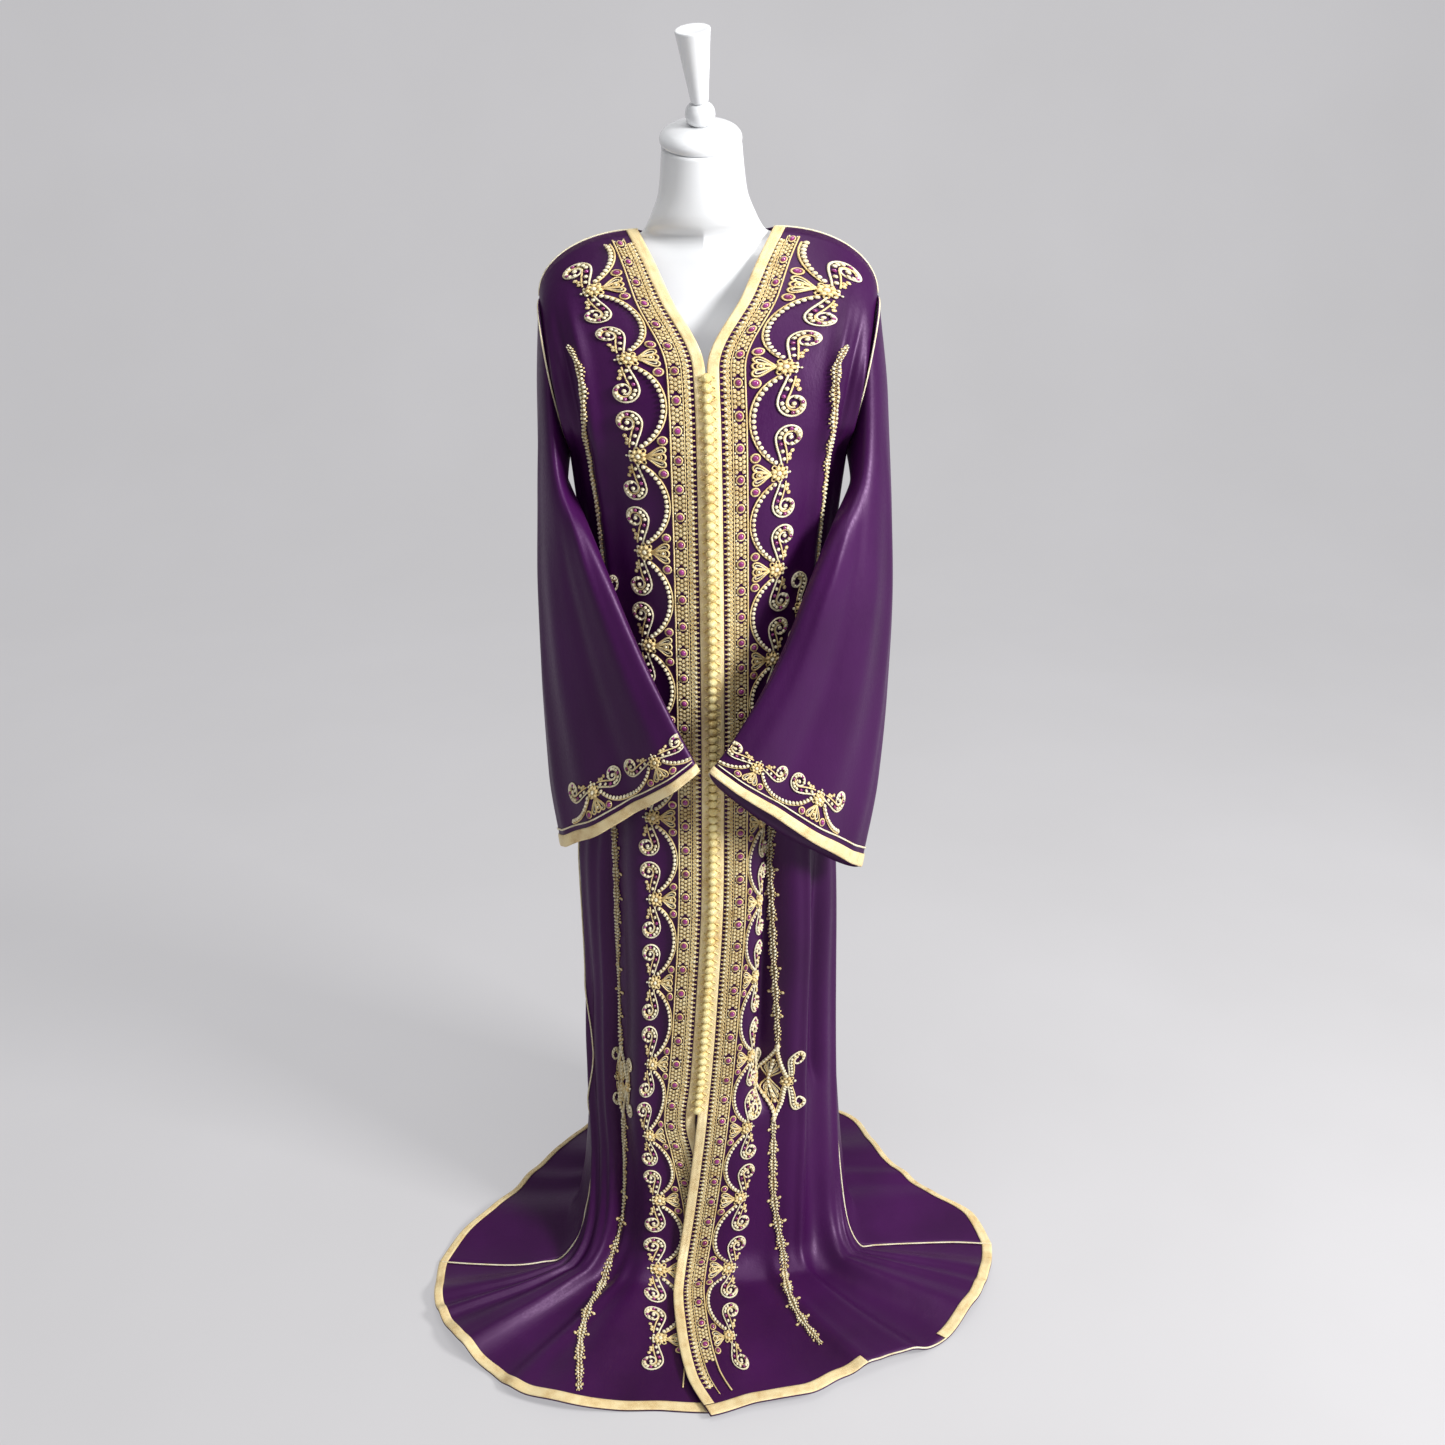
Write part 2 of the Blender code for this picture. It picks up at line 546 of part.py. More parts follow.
def build_knots(gold):
    """One bumpy cord: a row of round knots that spans the gap between the two front trims."""
    rows = row_drops()
    edge = [panel_point("front_right", 0.0, drop) for drop in rows]
    out = [panel_normal("front_right", 0.0, drop) for drop in rows]
    height = LAY_GAP * 2 + TRIM_WALL + KNOT_RADIUS
    line = [place + normal * height - Vector((FRONT_GAP, 0, 0)) for place, normal in zip(edge, out)]
    count = int((KNOT_END_DROP - KNOT_TOP_DROP) / KNOT_PITCH)
    stations = []
    for k in range(count):
        drop = KNOT_TOP_DROP + KNOT_PITCH * k
        stations.append((drop, KNOT_NECK))
        stations.append((drop + KNOT_PITCH * 0.5, KNOT_RADIUS))
    stations.append((KNOT_TOP_DROP + KNOT_PITCH * count, KNOT_NECK))
    bm = bmesh.new()
    rings = []
    for drop, radius in stations:
        k = int(np.searchsorted(rows, drop, side="right")) - 1
        f = (drop - rows[k]) / (rows[k + 1] - rows[k])
        centre = line[k].lerp(line[k + 1], f)
        normal = out[k].lerp(out[k + 1], f)
        down = (line[k + 1] - line[k]).normalized()
        aside = down.cross(normal).normalized()
        front = aside.cross(down).normalized()
        turns = [2 * math.pi * m / KNOT_SIDES for m in range(KNOT_SIDES)]
        rings.append([bm.verts.new(centre + (aside * math.cos(t) + front * math.sin(t)) * radius) for t in turns])
    for first, second in zip(rings, rings[1:]):
        for k in range(KNOT_SIDES):
            m = (k + 1) % KNOT_SIDES
            bm.faces.new((first[k], first[m], second[m], second[k]))
    bm.faces.new(rings[0])
    bm.faces.new(rings[-1])
    finish_object("closure_knots", bm, gold)


def ring_solid(name, rings, mat):
    """Skins a list of rings and closes both ends."""
    bm = bmesh.new()
    loops = [[bm.verts.new(point) for point in ring] for ring in rings]
    for first, second in zip(loops, loops[1:]):
        for k in range(len(first)):
            m = (k + 1) % len(first)
            bm.faces.new((first[k], first[m], second[m], second[k]))
    bm.faces.new(loops[0])
    bm.faces.new(loops[-1])
    return finish_object(name, bm, mat)


def circle(centre, radius, sides, forward=0.0, left=0.0):
    """A level circle, or one that leans to the front and to the left about its own middle."""
    lean = Matrix.Rotation(forward, 3, "X") @ Matrix.Rotation(-left, 3, "Y")
    turns = [2 * math.pi * k / sides for k in range(sides)]
    return [Vector(centre) + lean @ Vector((radius * math.cos(t), radius * math.sin(t), 0.0)) for t in turns]


def build_form(white, metal):
    stations = column(FORM_RINGS, FORM_COLUMNS, "z")
    heights = [float(z) for z in stations]
    heights += [(a + b) / 2 for a, b in zip(heights, heights[1:]) if b - a > FORM_LONGEST_STEP]
    rings = []
    for z in sorted(heights):
        wide, front, back, power = (
            smooth_value(z, stations, column(FORM_RINGS, FORM_COLUMNS, n)) for n in FORM_COLUMNS[1:]
        )
        ring = []
        for k in range(FORM_SIDES):
            turn = 2 * math.pi * k / FORM_SIDES
            x, y = (math.copysign(abs(part) ** (2 / power), part) for part in (math.cos(turn), math.sin(turn)))
            ring.append(Vector((FORM_CENTRE_X + wide * x, y * (back if y > 0 else front), z)))
        rings.append(ring)
    top = [Vector((p.x, p.y, p.z + (p.y * math.tan(CAP_LEAN)))) for p in rings[-1]]
    rings[-1] = top
    ring_solid("form_torso", rings, white)

    middle = Vector((FORM_CENTRE_X + CAP_SHIFT_X, 0.0, FORM_RINGS[-1][0] + LAY_GAP))
    up = Vector((0, -math.sin(CAP_LEAN), math.cos(CAP_LEAN)))
    ring_solid(
        "form_neck_cap",
        [circle(middle + up * h, r, FORM_SIDES, CAP_LEAN) for h, r in CAP_PROFILE],
        white,
    )
    ring_solid(
        "form_collar",
        [circle(middle + up * h, r, TURNED_SIDES, CAP_LEAN) for h, r in COLLAR_PROFILE],
        white,
    )
    foot_of_finial = middle + up * FINIAL_FOOT
    along = Matrix.Rotation(CAP_LEAN, 3, "X") @ Matrix.Rotation(-FINIAL_LEAN_LEFT, 3, "Y") @ Vector((0, 0, 1))
    ring_solid(
        "form_finial",
        [circle(foot_of_finial + along * h, r, TURNED_SIDES, CAP_LEAN, FINIAL_LEAN_LEFT) for h, r in FINIAL_PROFILE],
        white,
    )
    foot = Vector((0, 0, 0))
    pole_top = Vector((0, 0, FORM_RINGS[0][0] - LAY_GAP))
    ring_solid(
        "form_pole",
        [circle(foot + Vector((0, 0, z)), POLE_RADIUS, TURNED_SIDES) for z in (BASE_THICK + LAY_GAP, pole_top.z)],
        metal,
    )
    ring_solid(
        "form_base",
        [
            circle(foot, BASE_RADIUS, BASE_SIDES),
            circle(foot + Vector((0, 0, BASE_THICK - BASE_EDGE)), BASE_RADIUS, BASE_SIDES),
            circle(foot + Vector((0, 0, BASE_THICK)), BASE_RADIUS - BASE_EDGE, BASE_SIDES),
        ],
        metal,
    )


def main():
    clear_scene()
    cloth = material("purple_satin", (0.12, 0.028, 0.15), 0.42, 0.0)
    gold = material("gold_trim", (0.80, 0.55, 0.22), 0.45, 0.3)
    thread = material("gold_embroidery", (0.78, 0.66, 0.38), 0.6, 0.0)
    white = material("white_gloss", (0.86, 0.86, 0.86), 0.25, 0.0)
    metal = material("stand_metal", (0.62, 0.62, 0.63), 0.35, 0.8)
    build_front("front_left", cloth, gold, thread)
    build_front("front_right", cloth, gold, thread)
    build_back(cloth, gold)
    build_sleeve("left", cloth, gold, thread)
    build_sleeve("right", cloth, gold, thread)
    build_knots(gold)
    build_form(white, metal)


main()
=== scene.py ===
import math

import bmesh
import bpy
import numpy as np
from mathutils import Matrix, Vector


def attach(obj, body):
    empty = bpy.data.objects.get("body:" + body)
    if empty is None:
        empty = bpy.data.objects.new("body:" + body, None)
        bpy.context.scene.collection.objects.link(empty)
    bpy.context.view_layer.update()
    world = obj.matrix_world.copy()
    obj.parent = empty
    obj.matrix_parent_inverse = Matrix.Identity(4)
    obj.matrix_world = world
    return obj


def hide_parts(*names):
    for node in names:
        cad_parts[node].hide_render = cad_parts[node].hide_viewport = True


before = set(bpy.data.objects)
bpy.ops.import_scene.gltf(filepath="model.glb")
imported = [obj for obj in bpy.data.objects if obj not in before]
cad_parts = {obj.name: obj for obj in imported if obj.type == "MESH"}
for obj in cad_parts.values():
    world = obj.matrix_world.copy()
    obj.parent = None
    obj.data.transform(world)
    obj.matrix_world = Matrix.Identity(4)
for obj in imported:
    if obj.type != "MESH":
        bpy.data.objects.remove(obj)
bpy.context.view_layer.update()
print("frame loaded")

# shape of the cloth, shared by every piece that lies on it

clothWall = 0.0016
hemDrop = 1.70
floorClear = 0.0022
frontGap = 0.0006
overlapLift = 0.008
overlapStartZ, overlapFullZ = 0.285, 0.232
layGap = 0.0003
sideShare = 0.9988  # the front and back shells stop this far round, just short of the side seam
curveSamples, waveSamples = 681, 201
normalStep = 0.003
# the back's own neckline: how far down it fades, how far out it runs, and its distance from the shoulder seam
backNeck = {"fade": 0.06, "share": 0.5, "gap": 0.0012}
# where folds pass to the floor, fade to the seams, and leave room for the overlap
foldFade = {
    "floorStart": 1.40, "floorLength": 0.12, "seam": 0.10, "overlapStart": 0.30, "overlapLength": 0.25,
    "wander": 0.0008, "wanderDrop": (0.45, 0.3), "wanderShare": (0.2, 0.2),
}
sagStart = 0.70
cuffTurns = 241

bodyColumns = (
    "drop", "yIn", "zIn", "xInLeft", "xInRight",
    "xOutLeft", "xOutRight", "yOutLeft", "yOutRight", "zOutLeft", "zOutRight",
    "yBack", "zBack", "armholeY",
)
bodyRows = (
    (0.00, -0.001, 1.418, -0.068, 0.091, -0.190, 0.216, 0.0, 0.0, 1.345, 1.340, 0.050, 1.404, 0.001),
    (0.05, -0.038, 1.386, -0.049, 0.071, -0.187, 0.2115, 0.0, 0.0, 1.325, 1.319, 0.060, 1.388, 0.024),
    (0.10, -0.068, 1.350, -0.031, 0.052, -0.183, 0.206, 0.0, 0.0, 1.298, 1.293, 0.072, 1.365, 0.045),
    (0.20, -0.112, 1.272, 0.008, 0.009, -0.175, 0.1965, 0.0, 0.0, 1.252, 1.247, 0.096, 1.290, 0.060),
    (0.27, -0.127, 1.203, 0.010, 0.010, -0.167, 0.186, 0.0, 0.0, 1.200, 1.195, 0.108, 1.210, 0.042),
    (0.32, -0.133, 1.153, 0.010, 0.010, -0.162, 0.1785, 0.0, 0.0, 1.165, 1.160, 0.113, 1.160, 0.0),
    (0.47, -0.130, 1.003, 0.009, 0.009, -0.153, 0.163, 0.0, 0.0, 1.003, 1.003, 0.110, 1.003, 0.0),
    (0.62, -0.126, 0.853, 0.007, 0.007, -0.157, 0.161, 0.0, 0.0, 0.853, 0.853, 0.114, 0.853, 0.0),
    (0.77, -0.130, 0.703, 0.004, 0.004, -0.176, 0.168, 0.0, 0.0, 0.703, 0.703, 0.122, 0.703, 0.0),
    (0.88, -0.136, 0.593, 0.001, 0.001, -0.186, 0.171, 0.0, 0.0, 0.593, 0.593, 0.125, 0.593, 0.0),
    (1.05, -0.144, 0.424, -0.011, -0.011, -0.183, 0.169, -0.005, 0.0, 0.424, 0.424, 0.125, 0.424, 0.0),
    (1.17, -0.151, 0.304, -0.022, -0.022, -0.186, 0.171, -0.025, -0.005, 0.304, 0.304, 0.125, 0.304, 0.0),
    (1.24, -0.157, 0.234, -0.0305, -0.0305, -0.186, 0.173, -0.039, -0.014, 0.234, 0.234, 0.125, 0.234, 0.0),
    (1.29, -0.163, 0.184, -0.022, -0.037, -0.186, 0.175, -0.055, -0.025, 0.184, 0.184, 0.125, 0.184, 0.0),
    (1.39, -0.180, 0.086, -0.006, -0.052, -0.194, 0.181, -0.100, -0.075, 0.080, 0.080, 0.127, 0.084, 0.0),
    (1.455, -0.203, 0.026, -0.003, -0.063, -0.212, 0.190, -0.145, -0.125, 0.022, 0.022, 0.132, 0.024, 0.0),
    (1.50, -0.243, 0.0022, -0.002, -0.068, -0.243, 0.212, -0.172, -0.158, 0.0022, 0.0022, 0.141, 0.0022, 0.0),
    (1.57, -0.312, 0.0022, -0.003, -0.061, -0.302, 0.270, -0.182, -0.156, 0.0022, 0.0022, 0.156, 0.0022, 0.0),
    (1.64, -0.380, 0.0022, -0.006, -0.046, -0.362, 0.335, -0.178, -0.155, 0.0022, 0.0022, 0.173, 0.0022, 0.0),
    (1.70, -0.440, 0.0022, -0.010, -0.015, -0.412, 0.395, -0.172, -0.160, 0.0022, 0.0022, 0.190, 0.0022, 0.0),
)

# share by which the hem reaches further out on the floor, at even steps from the centre to the side seam
waveStartDrop = 1.46
hemWaves = {
    "frontLeft": (0.0, -0.005, 0.030, 0.075, 0.090, 0.055, 0.050, 0.040, 0.030, 0.010, 0.005),
    "frontRight": (0.040, -0.005, -0.005, -0.050, -0.050, -0.015, 0.0, 0.0, 0.0, 0.005, 0.015),
    "backLeft": (0.0, 0.0, 0.0, 0.0, -0.050, -0.105, -0.120, -0.125, -0.105, -0.040, 0.005),
    "backRight": (0.0, 0.0, 0.0, 0.0, -0.020, -0.110, -0.155, -0.150, -0.110, -0.010, 0.015),
}

# u at the top, u at the hem, half width, height on the wall, drop where it starts, full drop, height on the floor
foldColumns = ("uTop", "uHem", "halfWidth", "height", "start", "full", "hemHeight")
bigFolds = {
    "frontRight": (
        (0.36, 0.30, 0.07, -0.020, 0.60, 0.90, 0.0),
        (0.50, 0.43, 0.07, 0.014, 0.74, 1.02, 0.012),
        (0.64, 0.56, 0.06, -0.009, 0.66, 0.95, 0.0),
        (0.77, 0.69, 0.07, 0.011, 0.70, 1.00, 0.018),
        (0.90, 0.86, 0.05, 0.004, 0.90, 1.30, 0.012),
        (0.16, 0.16, 0.10, 0.006, 0.55, 0.85, 0.006),
    ),
    "frontLeft": (
        (0.54, 0.50, 0.08, -0.013, 0.58, 0.88, 0.0),
        (0.38, 0.32, 0.09, 0.009, 0.60, 0.92, 0.012),
        (0.70, 0.64, 0.08, 0.010, 0.70, 1.00, 0.018),
        (0.88, 0.84, 0.06, 0.004, 0.95, 1.30, 0.012),
    ),
    "backLeft": (
        (0.22, 0.20, 0.10, 0.010, 0.50, 0.90, 0.010),
        (0.52, 0.50, 0.10, 0.016, 0.50, 0.95, 0.014),
        (0.82, 0.80, 0.10, 0.020, 0.90, 1.30, 0.012),
    ),
    "backRight": (
        (0.26, 0.24, 0.10, 0.012, 0.50, 0.90, 0.012),
        (0.58, 0.54, 0.10, 0.014, 0.50, 0.95, 0.014),
        (0.84, 0.80, 0.10, 0.016, 0.90, 1.30, 0.010),
    ),
}
# smaller creases that only the cloth shell has
softFolds = {
    "frontRight": (
        (0.60, 0.50, 0.045, 0.0070, 0.05, 0.20, 0.0),
        (0.74, 0.64, 0.040, -0.0060, 0.05, 0.22, 0.0),
        (0.86, 0.76, 0.035, 0.0060, 0.08, 0.26, 0.004),
        (0.33, 0.28, 0.030, -0.0080, 0.62, 0.85, 0.0),
        (0.56, 0.48, 0.026, 0.0070, 0.72, 1.00, 0.006),
        (0.70, 0.62, 0.026, -0.0070, 0.74, 1.00, 0.0),
        (0.84, 0.79, 0.028, 0.0070, 0.80, 1.10, 0.009),
        (0.94, 0.92, 0.022, -0.0050, 0.60, 0.90, 0.0),
        (0.38, 0.36, 0.030, 0.0, 1.40, 1.50, 0.008),
    ),
    "frontLeft": (
        (0.56, 0.48, 0.045, 0.0065, 0.05, 0.20, 0.0),
        (0.70, 0.60, 0.040, -0.0060, 0.05, 0.22, 0.0),
        (0.84, 0.74, 0.035, 0.0060, 0.08, 0.26, 0.003),
        (0.58, 0.53, 0.026, -0.0070, 0.66, 0.90, 0.0),
        (0.64, 0.59, 0.026, 0.0060, 0.80, 1.10, 0.006),
        (0.80, 0.75, 0.028, 0.0065, 0.85, 1.15, 0.010),
        (0.93, 0.90, 0.024, -0.0045, 0.60, 0.90, 0.0),
        (0.46, 0.42, 0.030, 0.0, 1.40, 1.50, 0.007),
    ),
    "backLeft": (
        (0.36, 0.34, 0.040, 0.0060, 0.10, 0.40, 0.005),
        (0.66, 0.64, 0.040, 0.0060, 0.55, 0.90, 0.007),
        (0.10, 0.10, 0.050, 0.0050, 0.60, 1.00, 0.006),
    ),
    "backRight": (
        (0.40, 0.38, 0.040, 0.0060, 0.10, 0.40, 0.005),
        (0.72, 0.68, 0.040, 0.0060, 0.55, 0.90, 0.007),
        (0.12, 0.10, 0.050, 0.0050, 0.65, 1.00, 0.007),
    ),
}


def smoothValue(at, stations, values):
    at = min(max(at, stations[0]), stations[-1])
    k = min(int(np.searchsorted(stations, at, side="right")) - 1, len(stations) - 2)
    steps = np.diff(stations)
    slopes = np.diff(values) / steps

    def tangent(i):
        if i == 0:
            return slopes[0]
        if i == len(values) - 1:
            return slopes[-1]
        if slopes[i - 1] * slopes[i] <= 0:
            return 0.0
        return 2 * slopes[i - 1] * slopes[i] / (slopes[i - 1] + slopes[i])

    f = (at - stations[k]) / steps[k]
    ta, tb = tangent(k) * steps[k], tangent(k + 1) * steps[k]
    a = values[k] * (2 * f**3 - 3 * f**2 + 1) + ta * (f**3 - 2 * f**2 + f)
    return a + values[k + 1] * (3 * f**2 - 2 * f**3) + tb * (f**3 - f**2)


def curvesOf(rows, columns, count):
    table = np.array(rows, float)
    at = np.linspace(table[0, 0], table[-1, 0], count)
    curves = {columns[0]: at}
    for c in range(1, len(columns)):
        curves[columns[c]] = np.array([smoothValue(x, table[:, 0], table[:, c]) for x in at])
    return curves


bodyCurves = curvesOf(bodyRows, bodyColumns, curveSamples)


def bodyValue(name, drop):
    return np.interp(drop, bodyCurves["drop"], bodyCurves[name])


def smoothStep(f):
    f = np.clip(f, 0.0, 1.0)
    return f * f * (3 - 2 * f)


def stack(x, y, z):
    return np.stack(np.broadcast_arrays(x, y, z), axis=-1)


def unit(v):
    return v / np.maximum(np.linalg.norm(v, axis=-1, keepdims=True), 1e-12)


waveCurves = {}
for panel, values in hemWaves.items():
    stations = np.linspace(0, 1, len(values))
    waveCurves[panel] = np.array([smoothValue(x, stations, values) for x in np.linspace(0, 1, waveSamples)])


def hemReach(panel, u, drop):
    wave = np.interp(u, np.linspace(0, 1, waveSamples), waveCurves[panel])
    return 1 + wave * smoothStep((drop - waveStartDrop) / (hemDrop - waveStartDrop))


def panelBase(panel, u, drop):
    side = "Left" if panel.endswith("Left") else "Right"
    isFront = panel.startswith("front")
    xOut, zOut = bodyValue("xOut" + side, drop), bodyValue("zOut" + side, drop)
    yOut = bodyValue("yOut" + side, drop) + bodyValue("armholeY", drop) * (-1 if isFront else 1)
    across, away = np.sin(u * math.pi / 2), 1 - np.cos(u * math.pi / 2)
    if isFront:
        xIn = bodyValue("xIn" + side, drop) + (frontGap if side == "Right" else -frontGap)
        yIn, zIn = bodyValue("yIn", drop), bodyValue("zIn", drop)
    else:
        xIn, yIn, zIn = 0.0 * drop, bodyValue("yBack", drop), bodyValue("zBack", drop)
    reach = hemReach(panel, u, drop)
    low = stack(
        (xIn + (xOut - xIn) * across) * reach, yOut + (yIn + (yOut - yIn) * away - yOut) * reach,
        zIn + (zOut - zIn) * away,
    )
    if isFront:
        return low
    # the back starts from the neckline and the two shoulder seams
    neck = np.asarray(1 - smoothStep(drop / backNeck["fade"]))[..., None]
    xNeck, yNeck, zNeck = bodyValue("xIn" + side, 0.0), backNeck["gap"], bodyValue("zIn", 0.0)
    share = backNeck["share"]
    f = np.clip(u / share, 0, 1)
    g = np.clip((u - share) / (1 - share), 0, 1) * math.pi / 2
    inner = stack(xNeck * f, yIn + (yNeck - yIn) * f**3, zIn + (zNeck - zIn) * f**2)
    outer = stack(
        xNeck + (xOut - xNeck) * np.sin(g), yNeck + (yOut - yNeck) * (1 - np.cos(g)),
        zNeck + (zOut - zNeck) * (1 - np.cos(g)),
    )
    top = np.where((u < share)[..., None], inner, outer)
    return top * neck + low * (1 - neck)


def foldHeight(panel, u, drop):
    onFloor = smoothStep((drop - foldFade["floorStart"]) / foldFade["floorLength"])
    z = bodyValue("zIn", drop)
    over = smoothStep((overlapStartZ - z) / (overlapStartZ - overlapFullZ)) if panel == "frontRight" else 0.0 * drop
    height = 0.0 * u * drop
    for row in bigFolds[panel] + softFolds[panel]:
        fold = dict(zip(foldColumns, row))
        centre = fold["uTop"] + (fold["uHem"] - fold["uTop"]) * drop / hemDrop
        near = (u - centre) / fold["halfWidth"]
        grown = smoothStep((drop - fold["start"]) / (fold["full"] - fold["start"]))
        size = fold["height"] * (1 - onFloor) + fold["hemHeight"] * onFloor
        if fold["height"] < 0:
            size = size * (1 - over)
        height = height + size * grown * np.exp(-near * near)
    # a faint unevenness, so that no stretch of cloth is quite flat
    wander = np.sin(9.0 * u + 5.1 * drop + 0.7) * np.sin(6.3 * drop - 4.0 * u) + 0.6 * np.sin(17 * u + 3.0 * drop)
    (dropStart, dropLength), (shareStart, shareLength) = foldFade["wanderDrop"], foldFade["wanderShare"]
    grown = smoothStep((drop - dropStart) / dropLength)
    height = height + foldFade["wander"] * (1 + 0.6 * wander) * grown * smoothStep((u - shareStart) / shareLength)
    height = height * smoothStep((1 - u) / foldFade["seam"])
    if panel.startswith("front"):
        height = height * smoothStep(u / foldFade["seam"])
    inside = 1 - smoothStep((u - foldFade["overlapStart"]) / foldFade["overlapLength"])
    return height + overlapLift * over * inside


def normalsOf(shape, panel, u, drop):
    lowU, highU = np.clip(u - normalStep, 0, 1), np.clip(u + normalStep, 0, 1)
    lowD, highD = np.clip(drop - normalStep, 0, hemDrop), np.clip(drop + normalStep, 0, hemDrop)
    across = shape(panel, highU, drop) - shape(panel, lowU, drop)
    down = shape(panel, u, highD) - shape(panel, u, lowD)
    normal = unit(np.cross(across, down))
    return -normal if panel in ("frontRight", "backLeft") else normal


def panelPoint(panel, u, drop):
    base = panelBase(panel, u, drop)
    point = base + normalsOf(panelBase, panel, u, drop) * foldHeight(panel, u, drop)[..., None]
    point[..., 2] = np.maximum(point[..., 2], floorClear)
    return point


def panelNormal(panel, u, drop):
    return normalsOf(panelPoint, panel, u, drop)


sleeveColumns = ("share", "outerX", "outerY", "outerZ", "innerX", "innerY", "innerZ", "deepX", "deepY", "deepZ")
sleeveRows = {
    "left": (
        (0.00, -0.1905, 0.000, 1.343, -0.1626, 0.000, 1.166, 0.000, -0.062, 0.000),
        (0.15, -0.2000, -0.006, 1.235, -0.1640, -0.050, 1.135, 0.002, -0.045, 0.000),
        (0.32, -0.2040, -0.018, 1.110, -0.1400, -0.108, 1.090, -0.008, -0.030, 0.000),
        (0.50, -0.2100, -0.030, 0.985, -0.1120, -0.138, 1.025, -0.014, -0.022, 0.000),
        (0.68, -0.2140, -0.045, 0.860, -0.0780, -0.158, 0.940, -0.013, -0.021, -0.004),
        (0.85, -0.2120, -0.065, 0.748, -0.0420, -0.178, 0.862, -0.011, -0.021, -0.006),
        (1.00, -0.2000, -0.088, 0.650, -0.0110, -0.194, 0.802, -0.010, -0.022, -0.008),
    ),
    "right": (
        (0.00, 0.2168, 0.000, 1.338, 0.1792, 0.000, 1.161, 0.000, -0.062, 0.000),
        (0.15, 0.2310, -0.006, 1.220, 0.1820, -0.050, 1.130, -0.002, -0.045, 0.000),
        (0.32, 0.2360, -0.020, 1.090, 0.1570, -0.114, 1.085, 0.008, -0.032, 0.000),
        (0.50, 0.2380, -0.034, 0.970, 0.1270, -0.146, 1.022, 0.014, -0.026, 0.000),
        (0.68, 0.2340, -0.048, 0.845, 0.0900, -0.165, 0.935, 0.013, -0.024, -0.004),
        (0.85, 0.2240, -0.068, 0.728, 0.0420, -0.184, 0.855, 0.011, -0.021, -0.006),
        (1.00, 0.2010, -0.094, 0.610, 0.0020, -0.198, 0.802, 0.010, -0.022, -0.004),
    ),
}
backCuffSag = {"left": 0.006, "right": 0.032}
sleeveCurves = {side: curvesOf(rows, sleeveColumns, waveSamples) for side, rows in sleeveRows.items()}
# turn round from the inner edge over the front, half width, height, share where it starts, full share
sleeveFolds = {
    "left": (
        (0.12, 0.030, 0.0040, 0.15, 0.45), (0.21, 0.022, -0.0040, 0.25, 0.60), (0.30, 0.035, 0.0055, 0.30, 0.70),
        (0.40, 0.022, 0.0030, 0.08, 0.28), (0.62, 0.04, 0.0040, 0.20, 0.55), (0.82, 0.05, 0.0035, 0.35, 0.75),
    ),
    "right": (
        (0.12, 0.028, 0.0040, 0.20, 0.50), (0.20, 0.025, -0.0045, 0.20, 0.55), (0.28, 0.035, 0.0060, 0.25, 0.65),
        (0.38, 0.024, 0.0035, 0.12, 0.35), (0.66, 0.04, 0.0040, 0.20, 0.55), (0.86, 0.05, 0.0035, 0.35, 0.75),
    ),
}


def sleevePoint(side, share, turn, lift=0.0):
    # turn runs once round from 0 to 1: 0 is the inner edge, a quarter is the front, a half is the outer edge
    value = {n: np.interp(share, sleeveCurves[side]["share"], sleeveCurves[side][n]) for n in sleeveColumns[1:]}
    outer, inner, deep = (stack(value[p + "X"], value[p + "Y"], value[p + "Z"]) for p in ("outer", "inner", "deep"))
    middle, half = (outer + inner) / 2, (inner - outer) / 2
    height = 0.0 * share * turn + lift
    for at, wide, tall, start, full in sleeveFolds[side]:
        near = (turn - at) / wide
        height = height + tall * smoothStep((share - start) / (full - start)) * np.exp(-near * near)
    halfSize, deepSize = (np.linalg.norm(v, axis=-1, keepdims=True) for v in (half, deep))
    angle = 2 * math.pi * turn
    h = height[..., None]
    sag = backCuffSag[side] * np.maximum(0.0, -np.sin(angle)) * smoothStep((share - sagStart) / (1 - sagStart))
    wide = half * (1 + h / halfSize) * np.cos(angle)[..., None]
    around = wide + deep * (1 + h / deepSize) * np.sin(angle)[..., None]
    return middle + around - stack(0.0, 0.0, sag)


# helpers that make meshes


def linkMesh(name, bm, mat, smooth=True):
    bmesh.ops.recalc_face_normals(bm, faces=bm.faces)
    mesh = bpy.data.meshes.new(name)
    bm.to_mesh(mesh)
    bm.free()
    obj = bpy.data.objects.new(name, mesh)
    bpy.context.scene.collection.objects.link(obj)
    mesh.materials.append(mat)
    if smooth:
        mesh.polygons.foreach_set("use_smooth", [True] * len(mesh.polygons))
    return obj


# a grid whose corners go where place(across, along) says, both from 0 to 1, with uv on the same two
def gridMesh(columns, rows, place, weld=False):
    bm = bmesh.new()
    uvLayer = bm.loops.layers.uv.new("UVMap")
    bmesh.ops.create_grid(bm, x_segments=columns, y_segments=rows, size=0.5)
    flat = np.array([v.co[:2] for v in bm.verts]) + 0.5
    for face in bm.faces:
        for loop in face.loops:
            loop[uvLayer].uv = (loop.vert.co.x + 0.5, loop.vert.co.y + 0.5)
    for vert, point in zip(bm.verts, place(flat[:, 0], flat[:, 1])):
        vert.co = point
    if weld:
        bmesh.ops.remove_doubles(bm, verts=bm.verts, dist=1e-6)
    return bm


def solidify(obj, thick):
    mod = obj.modifiers.new("wall", "SOLIDIFY")
    mod.thickness = thick
    mod.offset = -1.0
    mod.use_even_offset = False


